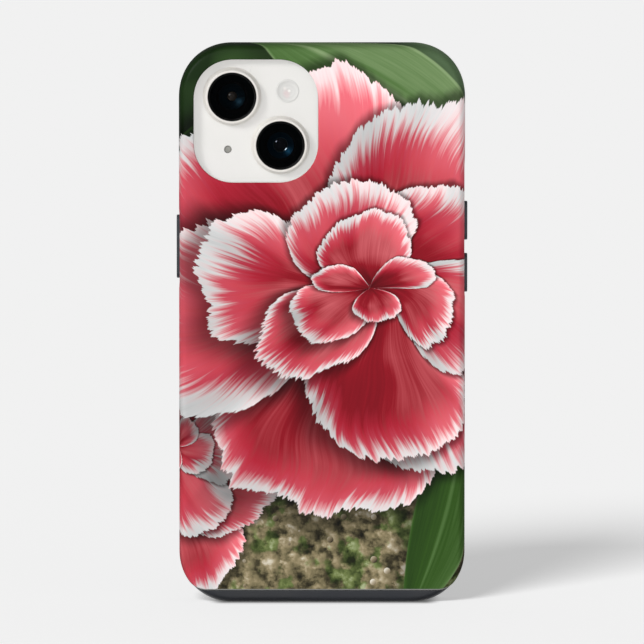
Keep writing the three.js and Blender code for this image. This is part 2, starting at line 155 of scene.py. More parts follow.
def lathe(name, profile, centre, sides=96, closed=False):
    # the profile's points of radius and depth, turned about a line along Y through the centre
    radius, depth = np.array(profile, float).T
    turn = np.linspace(0, 2 * math.pi, sides, endpoint=False)
    x = centre[0] + np.outer(radius, np.cos(turn))
    z = centre[1] + np.outer(radius, np.sin(turn))
    return lofted(name, np.stack([x, np.broadcast_to(depth[:, None], x.shape), z], axis=-1), closed)


def filleted(corners, radii, steps=5, closed=False):
    # each corner of the line becomes a quadratic curve between two points one radius away along its sides
    corners = np.array(corners, float)
    share = np.linspace(0, 1, steps + 1)[:, None]
    line = []
    for i, corner in enumerate(corners):
        if not closed and i in (0, len(corners) - 1) or radii[i] == 0:
            line.append(corner[None])
            continue
        arms = [corners[i - 1] - corner, corners[(i + 1) % len(corners)] - corner]
        start, end = [corner + arm / np.hypot(*arm) * min(radii[i], 0.49 * np.hypot(*arm)) for arm in arms]
        line.append((1 - share) ** 2 * start + 2 * share * (1 - share) * corner + share ** 2 * end)
    return np.concatenate(line)


def rounded(width, height, corner, *centre):
    # a rectangle with rounded corners, about a centre at x, y, z
    return {"width": width, "height": height, "corner": corner, "centre": centre}


def stacked(name, shape, rows, axis="y", cornerSteps=24, power=cornerPower):
    # rows of depth and inset: at each depth a rounded rectangle drawn in by the inset, with corners that
    # follow cos and sin of a turn raised to 2 / power, laid along the axis
    depth, inset = np.array(rows, float).T[:, :, None]
    turn = np.linspace(0, math.pi / 2, cornerSteps + 1)
    across, up = np.cos(turn).clip(0) ** (2 / power), np.sin(turn) ** (2 / power)
    unitU = np.concatenate([across, -across[::-1], -across, across[::-1]])
    unitV = np.concatenate([up, up[::-1], -up, -up[::-1]])
    signU = np.repeat([1, -1, -1, 1], cornerSteps + 1)
    signV = np.repeat([1, 1, -1, -1], cornerSteps + 1)
    corner = np.where(signV < 0, shape.get("lowCorner", shape["corner"]), shape["corner"]) - inset
    u = signU * (shape["width"] / 2 - inset - corner) + corner * unitU
    v = signV * (shape["height"] / 2 - inset - corner) + corner * unitV
    x, y, z = shape["centre"]
    d = np.broadcast_to(depth, u.shape)
    columns = {"y": (x + u, y + d, z + v), "x": (x + d, y + u, z + v), "z": (x + u, y + v, z + d)}[axis]
    return lofted(name, np.stack(columns, axis=-1))


def flaredHole(name, shape, sign, surface, depth, fillet, axis):
    # a cutter that opens out to meet the surface in a quarter circle, so the cut has a rounded edge
    turn = np.linspace(0, math.pi / 2, 7)
    rim = np.stack([fillet * (1 - np.cos(turn)) - 0.01, -fillet * (1 - np.sin(turn))], axis=-1)
    rows = np.concatenate([[[-1.5, -fillet]], rim, [[depth, 0]]])
    rows[:, 0] = surface + sign * rows[:, 0]
    return stacked(name, shape, rows, axis)


def carve(body, cutters=(), joins=(), limits=()):
    # joins closed solids, keeps what lies inside the limits, and takes the cutters away
    steps = [(other, "UNION") for other in joins] + [(other, "INTERSECT") for other in limits]
    steps += [(other, "DIFFERENCE") for other in cutters]
    for other, operation in steps:
        cut = body.modifiers.new("cut", "BOOLEAN")
        cut.object, cut.operation, cut.solver = other, operation, "MANIFOLD"
    keepResult(body)
    for other, _ in steps:
        bpy.data.objects.remove(other)


def keepResult(body):
    bpy.context.view_layer.update()
    result = body.evaluated_get(bpy.context.evaluated_depsgraph_get())
    mesh = bpy.data.meshes.new_from_object(result)
    body.modifiers.clear()
    body.data = mesh
    mesh.name = body.name


def dress(piece, slot, nodeName, *materials, body=rootBody, angle=32):
    # smooths all but its sharp edges, gives the finish, hangs the piece on its body and hides the node it
    # stands for. The slot is not used.
    piece.data.materials.clear()
    for made in materials:
        piece.data.materials.append(made)
    piece.data.polygons.foreach_set("use_smooth", np.ones(len(piece.data.polygons), bool))
    piece.data.set_sharp_from_angle(angle=math.radians(angle))
    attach(piece, body)
    if nodeName:
        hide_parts(nodeName)


middleZ = 75.75            # the middle of case and phone above the floor, in millimetres as all sizes
case = {
    "width": 77.3,
    "height": 151.5,
    "depth": 11.8,
    "corner": 14.6,
    "lowCorner": 13.8,     # the two corners on the floor are tighter
    "centre": (0, 0, middleZ),
    "backEdge": 2.4,       # how far the side draws in to the printed back
    "frontEdge": 1.1,
    "edgeSteps": 16,
}
phone = {"width": 71.5, "height": 146.7, "depth": 7.8, "corner": 12.4, "centre": (0, 0, middleZ),
         "glass": 0.8, "glassInset": 0.5}
lipDrop = 0.7
shellWall, shellBack, linerBack, fitGap = 1.2, 1.4, 1.1, 0.2
backY, frontY = -case["depth"] / 2, case["depth"] / 2
phoneBackY = backY + shellBack + linerBack + 2 * fitGap
phoneFrontY = phoneBackY + phone["depth"]
keyY = (phoneBackY + phoneFrontY) / 2
shellFrontY = frontY - lipDrop
phoneBottom = middleZ - phone["height"] / 2
phoneTop = middleZ + phone["height"] / 2
cameraWindow = rounded(33.6, 33.3, 10.3, -17.9, 0, 130.8)
plateauRise, lensRise = 1.0, 1.85
plateauY = phoneBackY - plateauRise
ringY = plateauY - lensRise
lensCentres = {"upper": (-24.25, 137.35), "lower": (-11.2, 124.2)}
# the line where the hard shell ends: level in the middle, swept up by a power over the reach from x = start
bumper = {"height": 3.4, "sweep": 2.65, "start": 31.0, "reach": 5.7, "power": 2.3}


def grown(shape, by):
    # the same rounded rectangle, larger all round
    sizes = {name: shape[name] + 2 * by for name in ("width", "height")}
    return {**shape, **sizes, "corner": shape["corner"] + by}


def edgeRows(fromY, toY, backDraw, frontDraw):
    # the side in section: from the widest line to each rim the inset is draw * (1 - cos(turn) ^ (2/3)) while
    # the depth is rim * sin(turn) ^ (2/3), a superellipse of power 3
    turn = np.linspace(0, math.pi / 2, case["edgeSteps"] + 1)
    reach, draw = np.sin(turn) ** (2 / 3), 1 - np.cos(turn).clip(0) ** (2 / 3)
    back = np.stack([fromY * reach, backDraw * draw], axis=-1)[::-1]
    front = np.stack([toY * reach, frontDraw * draw], axis=-1)[1:]
    return np.concatenate([back, front])


skinRows = edgeRows(backY, frontY, case["backEdge"], case["frontEdge"])


def belowBumper(name, drop):
    # everything under the bumper's line lowered by drop: a strip along X, extruded through the case
    x = np.linspace(-45, 45, 181)
    share = ((np.abs(x) - bumper["start"]) / bumper["reach"]).clip(0, 1)
    top = bumper["height"] + bumper["sweep"] * share ** bumper["power"] - drop
    y, low = np.full_like(x, 20), np.full_like(x, -5)
    corners = [(x, -y, low), (x, -y, top), (x, y, top), (x, y, low)]
    return lofted(name, np.stack([np.stack(corner, axis=-1) for corner in corners], axis=1))


# The printed skin's picture: open blossoms with pale margins over leaves and soft ground, in millimetres on
# the unrolled skin
picture = {
    "blossoms": [
        # where the heart lies, how big, how much the bloom is turned, and a number for its own variation
        {"x": -44, "z": 44, "radius": 48, "turn": 0.5, "seed": 31.0},
        {"x": 14, "z": 84, "radius": 74, "turn": 0.2, "seed": 7.0},
    ],
    "flattened": 0.86,       # how much each bloom is foreshortened
    "rings": [
        # share of the bloom's radius, petals in the ring, turn of the ring, half-width of a petal in its cell
        (1.0, 3, 0.0, 0.46),
        (0.92, 3, 3.1, 0.46),
        (0.68, 3, 1.5, 0.44),
        (0.56, 3, 4.7, 0.44),
        (0.35, 3, 0.7, 0.42),
        (0.22, 3, 3.9, 0.40),
    ],
    "leaves": [
        # root, direction in degrees, length, half-width, curl and how pale it is
        {"x": -52, "z": 96, "turn": 52, "length": 74, "half": 12, "curl": -0.25, "tone": 0.15},
        {"x": 48, "z": 116, "turn": 137, "length": 78, "half": 14, "curl": 0.2, "tone": 0.75},
        {"x": 22, "z": -6, "turn": 63, "length": 66, "half": 9, "curl": 0.22, "tone": 0.35},
    ],
    "petalTones": [(0.0, "#f0f1f1"), (0.14, "#efe1e1"), (0.26, "#e19ba0"), (0.4, "#cf4457"),
                   (0.64, "#c3273c"), (1.0, "#a01727")],
    "petalSheen": "#ec9499",
    "leafTones": [(0.0, "#1c3312"), (0.35, "#33551d"), (0.7, "#587a43"), (1.0, "#8ba574")],
    "groundTones": [(0.0, "#1c1a12"), (0.25, "#4a4430"), (0.45, "#7d7355"), (0.62, "#988a69"),
                    (0.8, "#b8aa8b"), (1.0, "#e0d8c4")],
    "mossTones": [(0.0, "#1f2910"), (0.4, "#47592a"), (0.7, "#6d8146"), (1.0, "#a5b383")],
    "stoneTones": [(0.0, "#3a3226"), (0.4, "#8a7c62"), (0.7, "#b9ac92"), (1.0, "#e9e2d2")],
    "gardenTones": [(0.0, "#182c11"), (0.5, "#3c5a2d"), (1.0, "#7b9a70")],
    "toLight": (0.94, 0.34, 0.0),       # the picture's own light, from its upper right
    "acrossLight": (0.34, -0.94, 0.0),
    "inkDensity": 0.86,      # what the ink on white plastic sends back of each tone
}


def newOverlay(name, *numbers):
    # a node group that lays one form over the colour below. A trace of that colour in the place makes each
    # form wait for the last, which keeps the shader small.
    tree = bpy.data.node_groups.new(name, "ShaderNodeTree")
    kinds = {"Below": "Color", "Place": "Vector", **{number: "Float" for number in numbers}}
    for socket, kind in kinds.items():
        tree.interface.new_socket(socket, in_out="INPUT", socket_type="NodeSocket" + kind)
    tree.interface.new_socket("Colour", in_out="OUTPUT", socket_type="NodeSocketColor")
    given = tree.nodes.new("NodeGroupInput").outputs
    node = nodeAdder(tree)
    start = node("VectorMath MULTIPLY_ADD", given["Below"], (1e-9, 1e-9, 1e-9), given["Place"])
    return tree, node, given, start


def layOver(tree, given, tint, inside, soft, beyond, shadow):
    # the form's own colour inside its edge, and its soft shadow on the colour below: as dark as the shadow's
    # second number along the edge, and gone where beyond falls to its first
    node = nodeAdder(tree)
    near = node("MapRange", beyond, shadow[0], 0.0, 1.0, shadow[1], interpolation_type="SMOOTHSTEP")
    shade = node("CombineXYZ", near, near, near)
    below = node("MixRGB", 1.0, given["Below"], shade, blend_type="MULTIPLY")
    mask = node("MapRange", inside, 0.0, soft, interpolation_type="SMOOTHSTEP")
    laid = node("MixRGB", mask, below, tint)
    tree.links.new(laid.outputs[0], tree.nodes.new("NodeGroupOutput").inputs["Colour"])
    return tree


def makePetalRing():
    # One ring of petals round the origin. In polar form a petal reaches out to
    # tip(a) = (1 - |a / half| ^ 2.4) ^ 0.6 of the radius, a being its own turn as a share of the ring's cell.
    # Colour runs from a pale margin to a deep base by the distance in from that edge, broken into streaks.
    tree, node, given, start = newOverlay("petalRing", "Radius", "Petals", "Turn", "Half", "Seed")
    seeded = node("CombineXYZ", given["Seed"], given["Turn"], given["Seed"])
    moved = node("VectorMath ADD", start, seeded)
    wander = node("TexNoise", {"Vector": moved, "Scale": 0.022, "Detail": 1.0}, noise_dimensions="2D")
    centred = node("VectorMath SUBTRACT", wander.outputs["Color"], (0.5, 0.5, 0.5))
    place = node("VectorMath ADD", start, node("VectorMath SCALE", {0: centred, "Scale": 20.0}))
    split = node("SeparateXYZ", place)
    far = node("VectorMath LENGTH", place).outputs["Value"]
    reach = node("Math DIVIDE", far, given["Radius"])
    direction = node("Math ARCTAN2", split.outputs["Y"], split.outputs["X"])
    turned = node("Math ADD", direction, given["Turn"])
    cells = node("Math MULTIPLY", turned, node("Math DIVIDE", given["Petals"], 2 * math.pi))
    cell = node("Math ROUND", cells)
    # the first and last cell are one petal
    petal = node("Math WRAP", cell, given["Petals"], 0.0)
    across = node("Math SUBTRACT", cells, cell)
    own = node("CombineXYZ", petal, given["Seed"], given["Turn"])
    chance = node("TexWhiteNoise", {"Vector": own}, noise_dimensions="3D")
    luck = node("SeparateColor", chance.outputs["Color"])
    sway = node("Math MULTIPLY_ADD", luck.outputs["Green"], 0.12, -0.06)
    side = node("Math DIVIDE", node("Math ADD", across, sway), given["Half"])
    aside = node("Math MINIMUM", node("Math ABSOLUTE", side), 1.0)
    fall = node("Math SUBTRACT", 1.0, node("Math POWER", aside, 2.4))
    tip = node("Math MULTIPLY", node("Math POWER", fall, 0.6),
               node("Math MULTIPLY_ADD", luck.outputs["Red"], 0.22, 0.82))
    # each petal reads its own stretch of every noise
    apart = node("Math MULTIPLY_ADD", petal, 37.0, given["Seed"])

    def stretched(widthwise, lengthwise, detail, roughness=0.5):
        # noise along the petal, so many times finer across it
        along = node("Math MULTIPLY_ADD", reach, lengthwise, given["Turn"]) if lengthwise else given["Turn"]
        spot = node("CombineXYZ", node("Math MULTIPLY_ADD", side, widthwise, apart), along, 0.0)
        noise = {"Vector": spot, "Scale": 1.0, "Detail": detail, "Roughness": roughness}
        return node("TexNoise", noise, noise_dimensions="2D")

    def pushed(value, noise, by):
        # the value pushed up or down by the noise
        return node("Math MULTIPLY_ADD", node("Math SUBTRACT", noise, 0.5), by, value)

    ruffle = stretched(4.0, 0, 4.0)
    streak = stretched(34.0, 1.3, 3.0, 0.62)
    patch = stretched(2.6, 1.6, 1.0)
    waved = pushed(tip, ruffle, 0.15)
    inside = node("Math SUBTRACT", pushed(waved, streak, 0.1), reach)
    # some petals are pale far in, others only along the edge, and those towards the light are paler
    outward = node("VectorMath NORMALIZE", place)
    facing = node("VectorMath DOT_PRODUCT", outward, picture["toLight"]).outputs["Value"]
    deepening = node("Math MULTIPLY", node("Math MULTIPLY_ADD", luck.outputs["Blue"], 2.6, 1.6),
                     node("Math MULTIPLY_ADD", facing, -0.4, 1.0))
    depth = node("Math MULTIPLY", inside, deepening)
    tint = node("ValToRGB", pushed(pushed(depth, streak, 0.55), patch, 0.5), stops=picture["petalTones"])
    # light on a petal that is rounded across and bows over at its tip
    turning = node("VectorMath DOT_PRODUCT", outward, picture["acrossLight"]).outputs["Value"]
    curved = node("Math MULTIPLY", node("Math MULTIPLY", side, turning), 0.42)
    bow = node("Math MULTIPLY", facing, 0.7)
    bowed = node("Math MULTIPLY_ADD", node("Math SUBTRACT", reach, 0.5), bow, curved)
    fold = node("MapRange", patch, 0.25, 0.72, 0.8, 1.38)
    base = node("MapRange", reach, 0.05, 0.45, 0.4, 1.0)
    fine = node("MapRange", streak, 0.3, 0.7, 0.9, 1.08)
    lit = node("Math MULTIPLY", node("Math MULTIPLY", fold, node("Math ADD", bowed, 1.0)),
               node("Math MULTIPLY", base, fine))
    grey = node("CombineXYZ", lit, lit, lit)
    shaded = node("MixRGB", 1.0, tint, grey, blend_type="MULTIPLY")
    # where the light falls straight on a petal its satin skin pales
    sheen = node("MapRange", lit, 0.85, 1.5, 0.0, 0.42)
    shaded = node("MixRGB", sheen, shaded, picture["petalSheen"])
    # the shadow starts from the unfrayed edge and is broad on the side away from the light
    away = node("Math MAXIMUM", node("Math MULTIPLY", facing, -0.2), 0.0)
    beyond = node("Math DIVIDE", node("Math SUBTRACT", waved, reach), node("Math ADD", away, 0.06))
    return layOver(tree, given, shaded, inside, 0.006, beyond, (-1.0, 0.3))


def makeLeafBlade():
    # One leaf along +X from the origin. Its half-width at share s of the length is half * sin(pi * s) ^ 0.8,
    # and the midline is bent by curl * length * s ^ 2.
    tree, node, given, start = newOverlay("leafBlade", "Length", "Half", "Curl", "Tone")
    split = node("SeparateXYZ", start)
    along = node("Math DIVIDE", split.outputs["X"], given["Length"])
    held = node("Math MAXIMUM", node("Math MINIMUM", along, 1.0), 0.0)
    bend = node("Math MULTIPLY", node("Math MULTIPLY", given["Curl"], given["Length"]),
                node("Math POWER", held, 2.0))
    off = node("Math SUBTRACT", split.outputs["Y"], bend)
    belly = node("Math POWER", node("Math SINE", node("Math MULTIPLY", held, math.pi)), 0.8)
    half = node("Math MULTIPLY", given["Half"], belly)
    side = node("Math DIVIDE", off, node("Math MAXIMUM", half, 0.2))
    inside = node("Math SUBTRACT", half, node("Math ABSOLUTE", off))
    veins = node("CombineXYZ", node("Math MULTIPLY", side, 11.0), node("Math MULTIPLY", held, 2.5),
                 given["Tone"])
    streak = node("TexNoise", {"Vector": veins, "Scale": 1.0, "Detail": 3.0, "Roughness": 0.6})
    # a pale rib and rim on a blade that is cupped across
    rib = node("MapRange", node("Math ABSOLUTE", side), 0.0, 0.09, 0.25, 0.0)
    rim = node("MapRange", inside, 0.0, 1.1, 0.45, 0.0)
    cup = node("MapRange", side, -1.0, 1.0, 0.16, -0.2)
    light = node("Math ADD", node("Math ADD", rib, rim), node("Math ADD", cup, given["Tone"]))
    tone = node("Math MULTIPLY_ADD", node("Math SUBTRACT", streak, 0.5), 0.42, light)
    tint = node("ValToRGB", tone, stops=picture["leafTones"])
    return layOver(tree, given, tint, inside, 0.5, inside, (-7.0, 0.5))


def paintPicture(node, place):
    # the whole print from the ground up: ground and garden, leaves, then each bloom's rings from outside in
    split = node("SeparateXYZ", place)
    clods = node("TexNoise", {"Vector": place, "Scale": 0.3, "Detail": 4.0, "Roughness": 0.6})
    # crumbs: cells bent by the noise, each with its own tone, darker towards its edge
    bent = node("VectorMath MULTIPLY_ADD", clods.outputs["Color"], (6.0, 6.0, 0.0), place)
    crumbs = node("TexVoronoi", {"Vector": bent, "Scale": 0.42, "Randomness": 1.0}, feature="SMOOTH_F1")
    crumb = node("SeparateColor", crumbs.outputs["Color"])
    edged = node("Math MULTIPLY_ADD", crumbs.outputs["Distance"], -0.22, node("Math MULTIPLY", crumb, 0.3))
    tone = node("Math ADD", clods, edged)
    ground = node("ValToRGB", node("MapRange", tone, 0.28, 0.82), stops=picture["groundTones"])
    patches = node("VectorMath ADD", place, (40, 9, 3))
    moss = node("TexNoise", {"Vector": patches, "Scale": 0.13, "Detail": 2.0, "Roughness": 0.6})
    tuft = node("Math MULTIPLY_ADD", crumb.outputs["Green"], 0.24, moss)
    mossy = node("MapRange", tuft, 0.6, 0.68, 0.0, 0.85)
    mossTone = node("ValToRGB", node("MapRange", tone, 0.3, 0.8), stops=picture["mossTones"])
    ground = node("MixRGB", mossy, ground, mossTone)
    # pebbles, each lit from the upper left: the shade runs with the offset from its middle
    pebbles = node("TexVoronoi", {"Vector": place, "Scale": 0.34, "Randomness": 1.0})
    size = node("SeparateColor", pebbles.outputs["Color"])
    reach = node("Math MULTIPLY_ADD", size.outputs["Green"], 0.26, 0.08)
    speck = node("Math LESS_THAN", pebbles.outputs["Distance"], reach)
    shown = node("Math MULTIPLY", speck, node("Math GREATER_THAN", size, 0.62))
    middle = node("VectorMath SUBTRACT", place, pebbles.outputs["Position"])
    lean = node("VectorMath DOT_PRODUCT", middle, (-0.35, 0.35, 0.0)).outputs["Value"]
    shade = node("Math MULTIPLY_ADD", lean, 0.9, 0.3)
    stone = node("ValToRGB", node("Math MULTIPLY_ADD", size.outputs["Blue"], 0.5, shade),
                 stops=picture["stoneTones"])
    ground = node("MixRGB", shown, ground, stone)
    haze = node("TexNoise", {"Vector": place, "Scale": 0.028, "Detail": 2.0})
    drift = node("Math MULTIPLY_ADD", split.outputs["X"], 0.006, haze)
    garden = node("ValToRGB", node("MapRange", drift, 0.3, 0.75), stops=picture["gardenTones"])
    rise = node("Math MULTIPLY_ADD", node("Math SUBTRACT", haze, 0.5), 50.0, split.outputs["Y"])
    colour = node("MixRGB", node("MapRange", rise, 38.0, 60.0), ground, garden)
    leafBlade, petalRing = makeLeafBlade(), makePetalRing()
    for leaf in picture["leaves"]:
        put = node("Mapping", place, (leaf["x"], leaf["z"], 0), (0, 0, math.radians(leaf["turn"])),
                   vector_type="TEXTURE")
        colour = node("Group", colour, put, leaf["length"], leaf["half"], leaf["curl"], leaf["tone"],
                      node_tree=leafBlade)
    for bloom in picture["blossoms"]:
        put = node("Mapping", place, (bloom["x"], bloom["z"], 0), (0, 0, bloom["turn"]),
                   (1.0, picture["flattened"], 1.0), vector_type="TEXTURE")
        for share, petals, turn, half in picture["rings"]:
            colour = node("Group", colour, put, share * bloom["radius"], petals, turn, half, bloom["seed"],
                          node_tree=petalRing)
    density = (picture["inkDensity"],) * 3 + (1.0,)
    return node("MixRGB", 1.0, colour, density, blend_type="MULTIPLY")


# Polycarbonate shell, injection moulded in white and sublimation printed: a satin skin with a faint peel
shellLook = {"roughness": 0.42, "shine": 0.08, "peelSize": 0.9, "peelHeight": 0.004, "windowFillet": 0.4,
             "window": {"corner": 10.9, "centre": (-17.8, 0, 130.8)}, "keyFillet": 0.3,
             "bareEdge": 0.22, "bareColour": "#7a7a78",
             # how far the print turns in over the window's edge, over the rim, and under the skin elsewhere
             "printed": {"window": 0.36, "rim": 0.12, "skin": 0.2}}
# the windows over the left and the right keys
sideWindows = {-1: rounded(7, 21.3, 2.4, 0, 0, 95.95), 1: rounded(7, 37.4, 2.4, 0, 0, 101.8)}


def skinInset(depth):
    return np.interp(depth, skinRows[:, 0], skinRows[:, 1])


def outwardInOutline(x, z):
    # how far a point lies inside the widest outline, and which way is out, from the superellipse
    # q = (u ^ p + v ^ p) ^ (1 / p) of its corner, u and v being 0 along the straight sides
    corner, power = np.where(z < middleZ, case["lowCorner"], case["corner"]), cornerPower
    u = (np.abs(x) - case["width"] / 2 + corner).clip(0) / corner
    v = (np.abs(z - middleZ) - case["height"] / 2 + corner).clip(0) / corner
    q = (u ** power + v ** power) ** (1 / power)
    out = np.stack([np.sign(x) * u ** (power - 1), np.sign(z - middleZ) * v ** (power - 1)], axis=-1)
    return corner * (1 - q), out / np.linalg.norm(out, axis=-1, keepdims=True).clip(1e-9)


def storePictureCoordinates(mesh):
    # the place on the unrolled skin: the point moved out along the outline's normal by as much as the arc
    # along the rounded side is longer than its shadow on the flat back
    x, y, z = readPlaces(mesh.vertices, "co")
    steps = np.hypot(*np.diff(skinRows, axis=0).T)
    arc = np.interp(y, skinRows[:, 0], np.concatenate([[0], np.cumsum(steps)]))
    _, out = outwardInOutline(x, z)
    longer = arc - (case["backEdge"] - skinInset(y))
    flat = np.stack([x + out[:, 0] * longer, z + out[:, 1] * longer, np.zeros_like(x)], axis=-1)
    place = mesh.attributes.new("picturePlace", "FLOAT_VECTOR", "POINT")
    place.data.foreach_set("vector", flat.astype(np.float32).ravel())


def printedPolycarbonate():
    made, node, spot = newMaterial("printedPolycarbonate", Roughness=shellLook["roughness"],
                                   Specular_IOR_Level=shellLook["shine"])
    place = node("Attribute", attribute_name="picturePlace").outputs["Vector"]
    # the ink stops short of the cut lower edge, where the white plastic shows as a line: the height above the
    # bumper's line height + sweep * ((|x| - start) / reach) ^ power
    split = node("SeparateXYZ", node("VectorMath SCALE", {0: spot, "Scale": 1 / mm}))
    share = node("MapRange", node("Math ABSOLUTE", split.outputs["X"]), bumper["start"],
                 bumper["start"] + bumper["reach"])
    swept = node("Math MULTIPLY_ADD", node("Math POWER", share, bumper["power"]), bumper["sweep"],
                 bumper["height"])
    # that height grows at different rates along the skin, so it is divided by the rate: the slope of the
    # height without its part along the normal
    steepest = -bumper["sweep"] * bumper["power"] / bumper["reach"]
    lean = node("Math MULTIPLY", node("Math POWER", share, bumper["power"] - 1), steepest)
    side = node("Math SIGN", split.outputs["X"])
    slope = node("CombineXYZ", node("Math MULTIPLY", lean, side), 0.0, 1.0)
    normal = node("NewGeometry").outputs["Normal"]
    along = node("VectorMath SUBTRACT", slope, node("VectorMath PROJECT", slope, normal))
    rate = node("VectorMath LENGTH", along).outputs["Value"]
    above = node("Math DIVIDE", node("Math SUBTRACT", split.outputs["Z"], swept), rate)
    bare = node("MapRange", above, shellLook["bareEdge"], shellLook["bareEdge"] + 0.1, 1.0, 0.0)
    tint = node("MixRGB", bare, paintPicture(node, place), shellLook["bareColour"])
    # the moulded skin's peel, drawn a little coarser than the real one so that it shows
    peel = node("TexNoise", {"Vector": spot, "Scale": 1 / (shellLook["peelSize"] * mm), "Detail": 2.0})
    bump = node("Bump", {"Height": peel, "Strength": 0.12, "Distance": shellLook["peelHeight"] * mm})
    return plug(made, Base_Color=tint, Normal=bump)


def makeShell():
    rimInset = skinInset(shellFrontY - 0.1)
    rim = [[shellFrontY - 0.1, rimInset], [shellFrontY - 0.03, rimInset + 0.04],
           [shellFrontY, rimInset + 0.12]]
    outer = np.concatenate([skinRows[skinRows[:, 0] < shellFrontY - 0.15], rim])
    shell = stacked("printedShell", case, outer, cornerSteps=caseSteps)
    inner = edgeRows(backY + shellBack, frontY + 1, case["backEdge"] - shellWall, 0) + [0, shellWall]
    cutters = [
        stacked("hollow", case, inner, cornerSteps=caseSteps),
        belowBumper("underShell", 0),
        flaredHole("cameraHole", {**cameraWindow, **shellLook["window"]}, 1, backY, 6,
                   shellLook["windowFillet"], "y"),
    ]
    for side, window in sideWindows.items():
        cutters.append(flaredHole("sideHole", window, -side, side * case["width"] / 2, 5,
                                  shellLook["keyFillet"], "x"))
    carve(shell, cutters)
    storePictureCoordinates(shell.data)
    # the shell's unprinted inside and cut walls: milky, faint mould texture
    whitePolycarbonate = flecked("whiteMouldedPolycarbonate", "#dedcd6", "#ecebe6", 900.0, 3.0,
                                 relief=(0.1, 0.01), Roughness=0.45, IOR=1.58)
    dress(shell, "printed_polycarbonate", "case_shell", printedPolycarbonate(), whitePolycarbonate)
    # the print covers the outer skin and turns over the window's edge and the rim; walls and inside are bare
    x, y, z = readPlaces(shell.data.polygons, "center")
    within, _ = outwardInOutline(x, z)
    over = shellLook["printed"]
    turned = (y < backY + over["window"]) | (y > shellFrontY - over["rim"])
    printed = turned | (within - skinInset(y) < over["skin"])
    shell.data.polygons.foreach_set("material_index", np.where(printed, 0, 1).astype(np.int32))
    # the print doesn't tint the paper and the white glass beside it
    shell.visible_diffuse = False
    return [shell]


# Liner of dark thermoplastic polyurethane, moulded in a sandblasted tool: matt, fine grain, soft sheen
linerLook = {"grain": 0.14, "grainHeight": 0.012, "edgeRadius": 0.3, "proud": 0.3, "proudCorner": 0.9,
             "lipInset": 0.82, "holeFillet": 0.35}


def mouldedRubber(name, low, high):
    made, node, spot = newMaterial(name, IOR=1.5, Sheen_Weight=0.3, Sheen_Roughness=0.4)
    grain = node("TexNoise", {"Vector": spot, "Scale": 1 / (2 * linerLook["grain"] * mm), "Detail": 2.0})
    cloud = node("TexNoise", {"Vector": spot, "Scale": 70.0, "Detail": 3.0})
    bump = node("Bump", {"Height": grain, "Strength": 0.35, "Distance": linerLook["grainHeight"] * mm})
    return plug(made, Base_Color=node("ValToRGB", cloud, stops=[(0.3, low), (0.7, high)]), Normal=bump,
                Roughness=node("MapRange", cloud, 0.3, 0.7, 0.5, 0.66))


linerRubber = mouldedRubber("mouldedRubber", "#16181d", "#1c1f26")
# painted light: the pads get lighter tones than the liner, standing in for the light that falls on them where
# they stand out
paintedLightPadRubber = mouldedRubber("padRubberPaintedLighter", "#2a2d33", "#33373e")
# where each key lies, how long its pad and its slot in the frame are, and on which side it is
keys = {
    "side": {"z": 96.3, "pad": 17.2, "slot": 15.3, "side": -1},
    "volume_up": {"z": 103.35, "pad": 10.55, "slot": 9.7, "side": 1},
    "volume_down": {"z": 89.2, "pad": 10.55, "slot": 9.7, "side": 1},
}
padWidth, padRise, padGap, slotWidth = 3.6, 0.65, 0.2, 2.9
soundHoles = {"x": 17, "pitch": 2.1, "radius": 0.7}
lowerWindows = [rounded(13.4, 6.2, 3.1, 0, keyY, 0), rounded(11, 4.2, 2.1, soundHoles["x"], keyY, 0),
                rounded(11, 4.2, 2.1, -soundHoles["x"], keyY, 0)]
ringSwitch = {"z": 116.9, "length": 5.6, "width": 2.8, "travel": 1.2}


def makeFoot():
    # the bumper under the shell, a little proud of it, with its edges rounded
    shape = {**case, "height": case["height"] + 2 * linerLook["proud"],
             "lowCorner": case["lowCorner"] + linerLook["proudCorner"]}
    foot = stacked("foot", shape, skinRows, cornerSteps=caseSteps)
    ground = stacked("ground", rounded(200, 40, 1, 0, 0, -5), [[0, 0], [5, 0]], "z", cornerSteps=2)
    carve(foot, [ground], limits=[belowBumper("region", fitGap)])
    soften = foot.modifiers.new("soften", "BEVEL")
    soften.width, soften.segments, soften.limit_method = linerLook["edgeRadius"] * mm, 3, "ANGLE"
    soften.angle_limit = math.radians(35)
    keepResult(foot)
    return foot


